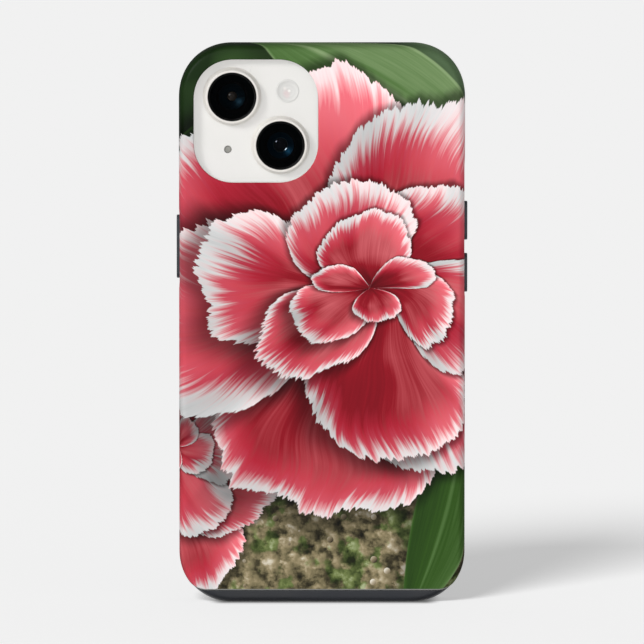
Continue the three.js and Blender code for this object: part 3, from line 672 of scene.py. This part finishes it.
def makeLiner():
    inner = edgeRows(backY + shellBack + fitGap, shellFrontY, case["backEdge"] - shellWall, 0)
    liner = stacked("rubberLiner", case, inner + [0, shellWall + fitGap], cornerSteps=caseSteps)
    inset, fillet = linerLook["lipInset"], linerLook["holeFillet"]
    lipLine = filleted([[shellFrontY - 0.1, 1.4], [shellFrontY + 0.1, 1.4], [shellFrontY + 0.2, inset],
                        [frontY - 0.1, inset], [frontY, 1.5]], [0, 0.1, 0.2, 0.3, 0])
    lip = stacked("lip", case, lipLine, cornerSteps=caseSteps)
    opening = filleted([[phoneFrontY - 1, 0.8], [phoneFrontY + 0.5, 0.8], [frontY, -0.1], [frontY + 1, -0.9]],
                       [0, 0.3, 0.3, 0])
    pocketLine = [[phoneBackY - fitGap, 0], [phoneFrontY + fitGap, 0]]
    switchHole = rounded(4.8, 6.8, 2.4, 0, keyY, ringSwitch["z"])
    cutters = [
        stacked("pocket", grown(phone, fitGap), pocketLine, cornerSteps=phoneSteps),
        stacked("lipOpening", phone, opening, cornerSteps=phoneSteps),
        stacked("cameraHole", cameraWindow, [[backY - 1, -0.7], [0, -0.7]]),
    ]
    for window in lowerWindows:
        cutters.append(flaredHole("lowerHole", window, 1, 0, 6, fillet, "z"))
    for key in keys.values():
        pad = rounded(padWidth, key["pad"], padWidth / 2, key["side"] * phone["width"] / 2, keyY, key["z"])
        cutters.append(stacked("padHole", grown(pad, padGap), [[-3, 0], [3, 0]], "x"))
    cutters.append(flaredHole("switchHole", switchHole, -1, case["width"] / 2 - 1.4, 4, fillet, "x"))
    carve(liner, cutters, joins=[lip, makeFoot()])
    dress(liner, "liner_rubber", "case_liner", linerRubber)


def makePads():
    # each pad is a rounded bar that stands out of its window, with a shallow hollow for the fingertip
    outer = case["width"] / 2 + padRise
    inner = phone["width"] / 2 + 0.55
    for name, key in keys.items():
        line = filleted([[inner, 0], [outer, 0], [outer, 0.5], [outer - 0.12, 0.9], [outer - 0.16, 1.5]],
                        [0, 0.45, 0.2, 0.3, 0])
        line[:, 0] *= key["side"]
        bar = rounded(padWidth, key["pad"], padWidth / 2, 0, keyY, key["z"])
        pad = stacked(name + "Pad", bar, line, "x", power=2)
        dress(pad, "liner_rubber", name + "_pad", paintedLightPadRubber, body=name + "_button")


# Phone frame of aluminium, bead-blasted and anodised in a pale champagne silver: soft sheen, very fine grain
frameMetal = flecked("anodisedAluminium", "#d5d2ca", "#e3e0d9", 5000.0, relief=(0.15, 0.01), Metallic=1.0,
                     Roughness=0.34)
bandWall, seam = 2.15, 0.15
chassisY = (2.7, 3.1)                   # both faces of the plate between the bays
flash = {"x": -9.3, "z": 138.8, "radius": 3.2, "rim": 0.4, "faceRise": 0.06, "dish": 0.36, "wave": 0.006,
         "wavePitch": 0.8}
microphone = {"x": -25.4, "z": 123, "radius": 1}
port = {**rounded(8.8, 3.2, 1.6, 0, keyY, 0), "length": 7}
screw = {"x": 6.9, "radius": 0.8, "holeRadius": 0.95}


def roundHole(name, x, z, radius, fromY, toY, chamfer=0.0, sides=48):
    line = [[radius + chamfer, fromY], [radius + chamfer, plateauY - 0.01], [radius, plateauY + chamfer],
            [radius, toY]]
    return lathe(name, line if chamfer else [line[0], line[-1]], (x, z), sides)


def makeFrame():
    bandBackY, bandFrontY = phoneBackY + 0.2, phoneFrontY - 0.2
    glassBackY, glassFrontY = phoneBackY + phone["glass"] + seam, phoneFrontY - phone["glass"] - seam
    line = filleted([[bandBackY, 0.5], [bandBackY, 0], [bandFrontY, 0], [bandFrontY, 0.5]],
                    [0, 0.35, 0.35, 0])
    band = stacked("phoneFrame", phone, line, cornerSteps=phoneSteps)
    wall, rabbet = grown(phone, -bandWall), grown(phone, seam - phone["glassInset"])
    switchSlot = rounded(ringSwitch["width"], ringSwitch["length"], 1.4, 0, keyY, ringSwitch["z"])
    # the bays before and behind the chassis plate, and the seats of both glasses
    bays = [(wall, bandBackY - 1, chassisY[0]), (wall, chassisY[1], bandFrontY + 1),
            (rabbet, bandBackY - 1, glassBackY), (rabbet, glassFrontY, bandFrontY + 1)]
    cutters = [stacked("bay", shape, [[fromY, 0], [toY, 0]], cornerSteps=phoneSteps)
               for shape, fromY, toY in bays]
    cutters.append(flaredHole("portHole", grown(port, seam), 1, phoneBottom, 4, 0.2, "z"))
    cutters.append(flaredHole("switchSlot", switchSlot, -1, phone["width"] / 2, 4, 0.15, "x"))
    for key in keys.values():
        slotX = key["side"] * phone["width"] / 2
        slot = rounded(slotWidth, key["slot"], slotWidth / 2, slotX, keyY, key["z"])
        cutters.append(stacked("keySlot", slot, [[-3, 0], [3, 0]], "x"))
    holeLine = [[phoneBottom - 1, -0.12], [phoneBottom, -0.12], [phoneBottom + 0.12, 0], [phoneBottom + 4, 0]]
    for side in (-1, 1):
        middle = side * soundHoles["x"]
        holes = [(middle + soundHoles["pitch"] * i, soundHoles["radius"]) for i in range(-2, 3)]
        for x, radius in [(side * screw["x"], screw["holeRadius"])] + holes:
            disc = rounded(2 * radius, 2 * radius, radius, x, keyY, 0)
            cutters.append(stacked("lowerHole", disc, holeLine, "z", cornerSteps=6, power=2))
    carve(band, cutters)
    dress(band, "frame_aluminium", "phone_frame", frameMetal)


def makeBackGlass():
    sheetLine = filleted([[phoneBackY, 0.6], [phoneBackY, 0], [phoneBackY + phone["glass"], 0]], [0, 0.25, 0])
    sheet = stacked("glassBack", grown(phone, -phone["glassInset"]), sheetLine, cornerSteps=phoneSteps)
    # the raised glass reaches a little way under the window's rim, with a quarter round for its edge
    wallLine = filleted([[phoneBackY + 0.4, 0], [plateauY, 0], [plateauY, 1.6]], [0, 0.5, 0], steps=8)
    raised = stacked("plateau", grown(cameraWindow, 0.3), wallLine, cornerSteps=phoneSteps)
    throughY = phoneBackY + 2
    cutters = [
        roundHole("flashHole", flash["x"], flash["z"], flash["radius"] - 0.02, plateauY - 1, throughY),
        roundHole("microphoneHole", microphone["x"], microphone["z"], microphone["radius"], plateauY - 1,
                  throughY, 0.08, 32),
    ]
    for x, z in lensCentres.values():
        cutters.append(roundHole("lensHole", x, z, lensLook["bore"], plateauY - 1, throughY, sides=64))
    carve(sheet, cutters, joins=[raised])
    # glass with a warm white lacquer behind it: even colour, a shallow milky depth, polished
    whiteGlass = flecked("whiteLacqueredGlass", "#dbdad6", "#dedcd9", 90.0, 3.0, rough=(0.26, 0.34), IOR=1.5,
                         Coat_Weight=0.5, Coat_Roughness=0.06)
    dress(sheet, "white_back_glass", "back_glass", whiteGlass)


lensLook = {
    # the faces seen through the cover, from the rim inward: outer and inner radius, the radius of its curve,
    # which bulges if it is below 0, its body colour and reflection colour, roughness and how much it reflects
    "upper": [
        {"radii": (3.55, 1.4), "curve": 4.6, "tints": ("#05080a", "#72c6f6"), "rough": 0.42, "shine": 0.15},
        {"radii": (1.3, 0.05), "curve": -1.6, "tints": ("#2b2622", "#ffffff"), "rough": 0.13, "shine": 0.28},
    ],
    "lower": [
        {"radii": (3.6, 2.0), "curve": 5.3, "tints": ("#04080b", "#3cb6fa"), "rough": 0.4, "shine": 0.2},
        {"radii": (1.95, 1.72), "curve": 3.7, "tints": ("#040507", "#cfe8f5"), "rough": 0.1, "shine": 0.8},
        {"radii": (1.68, 0.05), "curve": -3.1, "tints": ("#020203", "#dfe8ff"), "rough": 0.08, "shine": 0.4},
    ],
    "bore": 5.8,           # radii in millimetres
    "shelf": 6.6,
    "ring": 7.3,
    "ringFoot": 7.95,
    "cover": 6.45,
    "well": 3.9,
    "trimInner": 5.95,
    "coverThickness": 0.34,
    "shelfDrop": 0.95,
}


def lensBlack(name, low, high, rough, shine):
    # matt black inside the camera: each a trace cloudy
    return flecked(name, low, high, 1800.0, Roughness=rough, Specular_IOR_Level=shine)


def makeLenses():
    look = lensLook
    # the lens rings: machined, then coated in satin warm white, with a trace of turning marks
    ringWhite = flecked("enamelledAluminium", "#d8d4ce", "#dedad4", 2500.0, relief=(0.08, 0.01),
                        Roughness=0.3, IOR=1.5, Coat_Weight=0.3, Coat_Roughness=0.15)
    # toughened cover glass: clear and polished, its low IOR for the coating that leaves little reflection
    glass, _, _ = newMaterial("clearCoverGlass", Transmission_Weight=1.0, IOR=1.05, Roughness=0.0,
                              Base_Color="#f2f5f7")
    paint = lensBlack("blackFiredInk", "#040506", "#070809", 0.5, 0.0)
    barrel = lensBlack("blackAnodisedBarrel", "#040405", "#070708", 0.6, 0.03)
    trimRubber = lensBlack("blackTrimRubber", "#060607", "#0a0a0b", 0.4, 0.35)
    footY = plateauY - seam
    stepY = footY - look["shelfDrop"]
    coverBackY = stepY - seam
    coverY = coverBackY - look["coverThickness"]
    insideBackY = phoneBackY + phone["glass"] + seam
    moduleBack = insideBackY + 0.6
    bore, shelf, rim, coverEdge = look["bore"], look["shelf"], look["ring"], look["cover"]
    hidden = []
    for name, centre in lensCentres.items():
        ringLine = filleted([[bore, footY], [bore, stepY], [shelf, stepY], [shelf, ringY], [rim, ringY],
                             [rim + 0.25, plateauY - 0.4], [look["ringFoot"], plateauY + 0.01],
                             [rim - 0.1, plateauY + 0.01], [rim - 0.1, footY]],
                            [0, 0, 0, 0.1, 0.6, 0.35, 0, 0, 0], closed=True)
        ring = lathe(name + "LensRing", ringLine, centre, 128, closed=True)
        dress(ring, "lens_ring_aluminium", name + "_lens_ring", ringWhite)
        coverLine = [[6.1, coverBackY], [6.3, coverBackY], [coverEdge, coverBackY - 0.06],
                     [coverEdge, coverY + 0.06], [coverEdge - 0.08, coverY], [6.1, coverY]]
        cover = lathe(name + "LensCover", coverLine, centre, 128)
        dress(cover, "lens_glass", name + "_lens_glass", glass)
        inkLine = [[4.4, coverBackY + 0.01], [6.42, coverBackY + 0.01], [6.42, coverBackY + 0.05],
                   [4.4, coverBackY + 0.05]]
        ink = lathe(name + "LensInk", inkLine, centre, 96, closed=True)
        dress(ink, "lens_glass", None, paint)
        # a sloping rubber trim fills the corner between the cover and the ring's wall
        trimLine = [[look["trimInner"], coverY - 0.003], [6.3, coverY - 0.1], [shelf - 0.04, ringY + 0.06],
                    [shelf - 0.04, coverY - 0.003]]
        trim = lathe(name + "LensTrim", trimLine, centre, 128, closed=True)
        dress(trim, "black_plastic", None, trimRubber)
        # the module's front in section: flat face, step down into the well, then each face along its sphere,
        # whose depth changes by sqrt(curve^2 - r^2), with a small black step after it
        faceY = stepY + 0.02
        depth = faceY + 0.3
        line = [[[5.5, moduleBack], [5.5, faceY], [4.25, faceY], [4.15, faceY + 0.1], [4.0, faceY + 0.1],
                 [look["well"], depth]]]
        finishes = [barrel]
        for face in look[name]:
            radius = np.linspace(*face["radii"], 14)
            swell = np.sqrt(face["curve"] ** 2 - radius ** 2)
            line.append(np.stack([radius, depth + np.sign(face["curve"]) * (swell - swell[0])], axis=-1))
            depth = line[-1][-1, 1] + 0.12
            # a lens element's coated face: near black, with a tinted reflection
            body, reflection = face["tints"]
            coated, _, _ = newMaterial(name + "CoatedFace", Base_Color=body, Specular_Tint=reflection,
                                       Roughness=face["rough"], Specular_IOR_Level=face["shine"])
            finishes.append(coated)
        module = lathe(name + "LensModule", np.concatenate(line), centre, 96)
        base = stacked("moduleBase", rounded(12, 12, 1, centre[0], 0, centre[1]),
                       [[insideBackY + 0.2, 0], [2.5, 0]], cornerSteps=6)
        carve(module, joins=[base])
        dress(module, "black_plastic", name + "_camera_module", *finishes)
        x, y, z = readPlaces(module.data.polygons, "center")
        far = np.hypot(x - centre[0], z - centre[1])
        kind = np.zeros(len(far), np.int32)
        for position, face in enumerate(look[name]):
            outer, inner = face["radii"]
            kind[(far < outer) & (far > inner - 0.05) & (y < moduleBack - 0.1)] = position + 1
        module.data.polygons.foreach_set("material_index", kind)
        # light passes the clear cover straight on its way to the faces behind it
        cover.visible_shadow = cover.visible_glossy = cover.visible_diffuse = False
        hidden += [cover, ink, trim, module]
    return hidden


# the flash's blush, and two painted highlights standing in for glints on its two lamps: places beside its
# middle, sizes in millimetres, and colours
flashBlushAndGlints = [
    (-0.3, -0.6, 1.5, "#d5c5c4"),
    (-0.05, -1.3, 1.0, "#d6c9c8"),
    (-0.75, 0.75, 0.7, "#e4e0dc"),
    (0.45, 0.05, 0.6, "#efede9"),
]


def frostedDiffuser():
    # opal polycarbonate over the flash: milky, rings of its moulded lens, a warm blush over the two lamps,
    # and two small painted highlights for glints on them
    made, node, spot = newMaterial("opalDiffuser", Roughness=0.36, Specular_IOR_Level=0.2)

    def awayFrom(right, up):
        # distance in millimetres from a place beside the flash's middle
        centre = ((flash["x"] + right) * mm, 0, (flash["z"] + up) * mm)
        put = node("Mapping", spot, centre, vector_type="TEXTURE")
        flat = node("VectorMath MULTIPLY", put, (1 / mm, 0, 1 / mm))
        return node("VectorMath LENGTH", flat).outputs["Value"]

    wave = node("Math SINE", node("Math MULTIPLY", awayFrom(0.3, -0.2), 2 * math.pi / 0.95))
    tint = node("MixRGB", node("Math MULTIPLY_ADD", wave, 0.5, 0.5), "#d0cfcc", "#d5d4d1")
    # the blush patches, then the two light spots painted in as highlights
    for right, up, size, colour in flashBlushAndGlints:
        mask = node("MapRange", awayFrom(right, up), 0.0, size, 1.0, 0.0, interpolation_type="SMOOTHSTEP")
        tint = node("MixRGB", mask, tint, colour)
    return plug(made, Base_Color=tint)


def wovenMesh(name, low, high):
    # woven steel mesh of 0.3 mm pitch, coarser than the real 0.1 so that it shows
    made, node, spot = newMaterial(name, Metallic=0.3, Roughness=0.5)
    put = node("Mapping", {"Vector": spot, "Scale": (1 / (0.3 * mm),) * 3}, vector_type="POINT")
    holes = node("TexVoronoi", {"Vector": put, "Scale": 1.0, "Randomness": 0.0}).outputs["Distance"]
    bump = node("Bump", {"Height": holes, "Strength": 0.6, "Distance": 0.05 * mm})
    return plug(made, Base_Color=node("ValToRGB", holes, stops=[(0.0, low), (0.6, high)]), Normal=bump)


def makeFlashAndMicrophone():
    radius, face = flash["radius"], plateauY - flash["faceRise"]
    bowl = radius - flash["rim"]
    # a shallow dish in a raised rim, with low concentric waves: dish * (1 - (r / bowl) ^ 3) + wave * cos of
    # the radius over the pitch
    r = np.linspace(bowl, 0.12, 44)
    waves = flash["wave"] * np.cos(2 * math.pi * r / flash["wavePitch"])
    dish = flash["dish"] * (1 - (r / bowl) ** 3) + waves
    rim = filleted([[radius, plateauY + 0.9], [radius, plateauY + 0.02], [radius - 0.2, face], [bowl, face]],
                   [0, 0.05, 0.14, 0])
    line = np.concatenate([rim[:-1], np.stack([r, face + dish], axis=-1)])
    window = lathe("flashWindow", line, (flash["x"], flash["z"]), 72)
    dress(window, "flash_diffuser", "flash_window", frostedDiffuser(), angle=50)
    mesh = lathe("microphoneMesh", [[0.9, plateauY + 0.85], [0.9, plateauY + 0.45], [0.84, plateauY + 0.4],
                                    [0.1, plateauY + 0.37]], (microphone["x"], microphone["z"]), 40)
    dress(mesh, "microphone_mesh", "rear_microphone_mesh", wovenMesh("steelMesh", "#5f5f5c", "#a5a49d"))


displayLook = {
    "litHalf": (33.2, 70.8),      # half the lit area's width and height, and its corner
    "litCorner": 9.0,
    "border": "#040405",
    "islandDrop": 8.6,            # from the phone's top to the middle of the front camera's island
    "island": [
        # a pill-shaped black island, and the front camera and its sensor as faint dark blue discs: place
        # across, radius and colour
        (0.0, 5.2, "#020203"), (4.6, 3.4, "#020203"), (-4.6, 3.4, "#020203"),
        (5.0, 1.7, "#0a1222"), (5.0, 0.7, "#1a2a48"), (-4.8, 1.2, "#0b0b12"),
    ],
    "slotDrop": 1.9,              # from the phone's top to the earpiece slot
}


def displayGlass():
    # toughened cover glass over a sleeping display: black, very smooth, the lit area a shade lighter
    made, node, spot = newMaterial("toughenedDisplayGlass", Roughness=0.04, IOR=1.5)
    split = node("SeparateXYZ", spot)
    # inside the lit area: both distances from its middle stay under its half sizes, with rounded corners
    corner = displayLook["litCorner"]
    over = []
    for socket, middle, half in zip("XZ", (0.0, middleZ), displayLook["litHalf"]):
        off = node("Math SUBTRACT", node("Math DIVIDE", split.outputs[socket], mm), middle)
        past = node("Math SUBTRACT", node("Math ABSOLUTE", off), half - corner)
        over.append(node("Math MAXIMUM", past, 0.0))
    out = node("VectorMath LENGTH", node("CombineXYZ", *over, 0.0)).outputs["Value"]
    lit = node("MapRange", out, corner - 0.1, corner + 0.1, 1.0, 0.0)
    panel = node("ValToRGB", node("TexNoise", {"Vector": spot, "Scale": 900.0}),
                 stops=[(0.3, "#0c0d10"), (0.7, "#101116")])
    tint = node("MixRGB", lit, displayLook["border"], panel)
    place = node("VectorMath SCALE", {0: spot, "Scale": 1 / mm})
    for x, radius, colour in displayLook["island"]:
        away = node("VectorMath SUBTRACT", place, (x, phoneFrontY, phoneTop - displayLook["islandDrop"]))
        flat = node("VectorMath MULTIPLY", away, (1, 0, 1 if radius < 5 else 1.6))
        far = node("VectorMath LENGTH", flat).outputs["Value"]
        tint = node("MixRGB", node("MapRange", far, radius - 0.12, radius, 1.0, 0.0), tint, colour)
    return plug(made, Base_Color=tint)


def makeDisplay():
    seatY = phoneFrontY - phone["glass"]
    line = filleted([[seatY, 0.05], [seatY, 0], [phoneFrontY, 0], [phoneFrontY, 1.2]], [0, 0, 0.45, 0],
                    steps=6)
    sheet = stacked("displayGlass", grown(phone, -phone["glassInset"]), line, cornerSteps=phoneSteps)
    slot = rounded(12, 0.9, 0.45, 0, 0, phoneTop - displayLook["slotDrop"])
    slit = stacked("slit", slot, [[phoneFrontY - 2, 0], [phoneFrontY - 0.08, 0], [phoneFrontY + 0.01, -0.06],
                                  [phoneFrontY + 1, -0.06]], cornerSteps=8)
    carve(sheet, [slit])
    dress(sheet, "display_glass", "display_glass", displayGlass())
    meshBar = rounded(11.8, 0.8, 0.4, 0, 0, phoneTop - displayLook["slotDrop"])
    meshLine = [[phoneFrontY - 0.24, 0.05], [phoneFrontY - 0.2, 0], [phoneFrontY - 0.6, 0]]
    earpieceMesh = stacked("earpieceMesh", meshBar, meshLine, cornerSteps=8)
    dress(earpieceMesh, "microphone_mesh", None, wovenMesh("blackMesh", "#0a0a0b", "#2c2c2e"))
    return [sheet]


def speckled(name, low, high, rough, size, metallic=0.0):
    # a plain moulded, etched or wrapped surface: two close tones in specks of the given size in millimetres
    return flecked(name, low, high, 1 / (size * mm), stops=(0.35, 0.65), relief=(0.25, 0.01),
                   Metallic=metallic, Roughness=rough)


def circuitBoard():
    # glass-epoxy board under green solder mask, with copper tracks in a square weave and tinned pads
    made, node, spot = newMaterial("solderMaskedBoard", Roughness=0.4, Coat_Weight=0.3)
    put = node("Mapping", {"Vector": spot, "Scale": (1 / (2.4 * mm),) * 3}, vector_type="POINT")
    upright = node("VectorRotate", {"Vector": put, "Angle": math.pi / 2}, rotation_type="X_AXIS")
    track = node("TexBrick", {"Vector": upright, "Scale": 1.0, "Color1": "#1d4a30", "Color2": "#24573a",
                              "Mortar": "#3f7a4c", "Mortar Size": 0.04})
    pads = node("TexVoronoi", {"Vector": put, "Scale": 1.4})
    pad = node("Math LESS_THAN", pads.outputs["Distance"], 0.16)
    return plug(made, Base_Color=node("MixRGB", pad, track, "#c9c6b8"))


def woundCopper():
    # flat enamelled wire wound in a spiral: rings 0.45 mm apart round the coil's middle
    made, node, spot = newMaterial("enamelledCopperWire", Metallic=1.0, Roughness=0.32)
    put = node("Mapping", spot, (0, 0, (middleZ - 4) * mm), vector_type="TEXTURE")
    far = node("VectorMath LENGTH", node("VectorMath MULTIPLY", put, (1, 0, 1))).outputs["Value"]
    wave = node("Math SINE", node("Math MULTIPLY", far, 2 * math.pi / (0.45 * mm)))
    rings = node("Math MULTIPLY_ADD", wave, 0.5, 0.5)
    return plug(made, Base_Color=node("ValToRGB", rings, stops=[(0.1, "#7a4526"), (0.5, "#b87345")]))


# stamped and drawn stainless steel: bright, with drawing marks along the stroke
steel = flecked("drawnStainlessSteel", "#a9abac", "#c5c6c7", 1.0, 3.0, rough=(0.24, 0.36),
                stretch=(9000, 9000, 600), Metallic=1.0)
blackNylon = speckled("blackMouldedNylon", "#141517", "#1c1d1f", 0.5, 0.3)


def makeLowerEdge():
    bottom, top = phoneBottom + 0.3, phoneBottom + 0.3 + port["length"]
    canLine = [[bottom, 0.08], [bottom + 0.08, 0], [top - 0.4, 0], [top, 0.4]]
    can = stacked("portCan", port, canLine, "z", power=2)
    mouthLine = [[bottom - 1, -0.2], [bottom, -0.15], [bottom + 0.15, 0], [top - 1, 0]]
    carve(can, [stacked("mouth", grown(port, -0.35), mouthLine, "z", power=2)])
    dress(can, "steel_parts", "charging_port_shell", steel)
    tongueLine = [[phoneBottom + 1.2, 0.15], [phoneBottom + 1.35, 0], [phoneBottom + 6.1, 0]]
    tongue = stacked("portTongue", rounded(6, 0.7, 0.2, 0, keyY, 0), tongueLine, "z", cornerSteps=6, power=2)
    dress(tongue, "black_plastic", "charging_port_tongue", blackNylon)
    for name, side in [("left", -1), ("right", 1)]:
        centre = (side * screw["x"], keyY, 0)
        disc = rounded(2 * screw["radius"], 2 * screw["radius"], screw["radius"], *centre)
        line = [[phoneBottom + 0.15, 0.14], [phoneBottom + 0.2, 0.04], [bottom, 0], [phoneBottom + 3.1, 0]]
        head = stacked(name + "BottomScrew", disc, line, "z", cornerSteps=8, power=2)
        # a plain cross recess
        bars = [rounded(0.95, 0.26, 0.1, *centre), rounded(0.26, 0.95, 0.1, *centre)]
        barLine = [[phoneBottom - 1, 0], [phoneBottom + 0.55, 0]]
        carve(head, [stacked("recess", bar, barLine, "z", cornerSteps=3) for bar in bars])
        dress(head, "steel_parts", name + "_bottom_screw", steel)
    slider = rounded(1.3, 4.7, 0.6, 0, keyY - ringSwitch["travel"] / 2, ringSwitch["z"])
    inner, outer = phone["width"] / 2 - bandWall - 0.6, phone["width"] / 2 - 0.25
    sliderLine = [[inner, 0], [outer - 0.12, 0], [outer - 0.04, 0.05], [outer, 0.15]]
    piece = stacked("ringSwitchSlider", slider, sliderLine, "x", power=2)
    dress(piece, "frame_aluminium", "ring_switch_slider", frameMetal, body="ring_switch")


def finishCadNodes():
    # the pieces that stay as solids inside: each keeps its shape and takes the finish of its real material
    finishes = [
        (frameMetal, ["side_key", "volume_up_key", "volume_down_key"]),
        (steel, ["side_contact_switch", "volume_up_contact_switch", "volume_down_contact_switch",
                 "vibration_motor"]),
        (blackNylon, ["loudspeaker", "earpiece", "front_camera"]),
        (circuitBoard(), ["logic_board"]),
        (woundCopper(), ["charging_coil"]),
        (speckled("sinteredMagnet", "#8b8d90", "#a2a4a7", 0.35, 0.5, metallic=0.9), ["magnet_ring"]),
        (speckled("mouldedChipEpoxy", "#17181a", "#202124", 0.55, 0.15),
         ["processor_package", "storage_package", "radio_package"]),
        (speckled("polymerBatteryWrap", "#1d1f23", "#26282d", 0.5, 1.2), ["battery"]),
        (speckled("blackDisplayFoil", "#0b0c0e", "#111215", 0.3, 2.0), ["display_panel"]),
        (speckled("whiteCeramicLamp", "#d9d2b4", "#efe9d2", 0.4, 0.4), ["flash_lamp"]),
    ]
    for finish, names in finishes:
        for name in names:
            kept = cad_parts[name]
            kept.data.materials.clear()
            kept.data.materials.append(finish)


# Stage: a pale floor that meets a background of its own brightness, one soft key light from the upper left
stageLook = {
    "cameraDistance": 3.0,
    "cameraElevation": 6.0,
    "frameWidth": 0.1743,      # metres across the view at the case
    "sensor": 36,
    "lights": [
        # name, degrees to the left of the camera, degrees up, the width of the disc of light in degrees, its
        # strength, and what it lights: the floor alone, the object alone, or the object but for its lenses,
        # or but for shell and display
        ("floorKey", 29, 39, 22, 1.92, "floorAlone"),
        ("key", 54, 28, 18, 1.62, "floorLeftOut"),
        ("frontFill", 0, 12, 80, 1.8, "lensesLeftOut"),
        ("backFill", 180, 2, 70, 0.9, "shellLeftOut"),
    ],
    "worldStrength": 0.12,
    "background": "#f0f0f0",
    "floor": "#f0f0f0",
    "floorGlow": "#b1b1b1",     # the floor's own light, so that its shadow keeps an even grey
    "floorReach": 25000,
    "footCentre": (0.0007, 0.0, 0.0),
    "footHalf": (0.0268, 0.0048, 0.0),
    "contactShade": 0.3,
    "contactReach": 0.0052,
}


def makeStage():
    look = stageLook
    scene = bpy.context.scene
    scene.view_settings.view_transform = "Standard"
    scene.view_settings.look = "None"

    def placed(name, data, azimuth, elevation, distance):
        # a camera or lamp so many degrees to the left and up, which looks at the middle of the case
        made = bpy.data.objects.new(name, data)
        turn, rise = math.radians(azimuth), math.radians(elevation)
        away = Vector((-math.sin(turn) * math.cos(rise), -math.cos(turn) * math.cos(rise), math.sin(rise)))
        made.location = Vector((0, 0, middleZ * mm)) + distance * away
        made.rotation_euler = away.to_track_quat("Z", "Y").to_euler()
        scene.collection.objects.link(made)
        return made

    lens = bpy.data.cameras.new("camera")
    lens.sensor_width = look["sensor"]
    lens.lens = look["sensor"] * look["cameraDistance"] / look["frameWidth"]
    lens.clip_end = 100
    scene.camera = placed("camera", lens, 0, look["cameraElevation"], look["cameraDistance"])
    lit = {}
    for name, azimuth, elevation, angle, strength, receivers in look["lights"]:
        sun = bpy.data.lights.new(name, "SUN")
        sun.energy = strength
        sun.angle = math.radians(angle)
        lit[receivers] = bpy.data.collections.new(receivers)
        placed(name, sun, azimuth, elevation, 0).light_linking.receiver_collection = lit[receivers]
    world = bpy.data.worlds.new("studio")
    world.use_nodes = True
    world.node_tree.nodes.clear()
    node = nodeAdder(world.node_tree)
    # what is seen directly is as bright as the lit floor; what lights the object is softer
    seen = node("Background", {"Color": look["background"], "Strength": 1.0})
    fill = node("Background", {"Color": "#ffffff", "Strength": look["worldStrength"]})
    both = node("MixShader", node("LightPath").outputs["Is Camera Ray"], fill, seen)
    node("OutputWorld", {"Surface": both})
    scene.world = world
    reach = look["floorReach"]
    corners = [[-reach, -reach, 0], [reach, -reach, 0], [reach, reach, 0], [-reach, reach, 0]]
    floor = addObject("floor", corners, [(0, 1, 2, 3)])
    paper, node, spot = newMaterial("seamlessPaper", Roughness=0.9, Specular_IOR_Level=0.0,
                                    Emission_Strength=1.0)
    # the paper darkens where the foot keeps the room's light off it, by the distance from its rectangle
    aside = node("VectorMath ABSOLUTE", node("VectorMath SUBTRACT", spot, look["footCentre"]))
    beyond = node("VectorMath SUBTRACT", aside, look["footHalf"])
    outside = node("VectorMath LENGTH", node("VectorMath MAXIMUM", beyond, (0, 0, 0))).outputs["Value"]
    shade = node("MapRange", outside, 0.0, look["contactReach"], look["contactShade"], 1.0,
                 interpolation_type="SMOOTHSTEP")
    plug(paper, Base_Color=node("MixRGB", 1.0, look["floor"], shade, blend_type="MULTIPLY"),
         Emission_Color=node("MixRGB", 1.0, look["floorGlow"], shade, blend_type="MULTIPLY"))
    floor.data.materials.append(paper)
    # polished faces mirror the dim surroundings and the lights, not the paper, as if it were flagged off
    floor.visible_glossy = False
    for name, receivers in lit.items():
        receivers.objects.link(floor)
        state = "INCLUDE" if name == "floorAlone" else "EXCLUDE"
        receivers.collection_objects[0].light_linking.link_state = state


def leaveOut(name, pieces):
    # the pieces aren't lit by the lights of that collection
    receivers = bpy.data.collections[name]
    for piece in pieces:
        receivers.objects.link(piece)
    for entry in receivers.collection_objects:
        entry.light_linking.link_state = "EXCLUDE"


makeStage()
print("stage: camera, lights and floor made")
leaveOut("shellLeftOut", makeShell())
print("stage: printed shell made")
makeLiner()
makePads()
print("stage: liner and pads made")
makeFrame()
makeBackGlass()
leaveOut("lensesLeftOut", makeLenses())
makeFlashAndMicrophone()
print("stage: back of the phone made")
leaveOut("shellLeftOut", makeDisplay())
makeLowerEdge()
finishCadNodes()
print("stage: display, lower edge and inside finished")
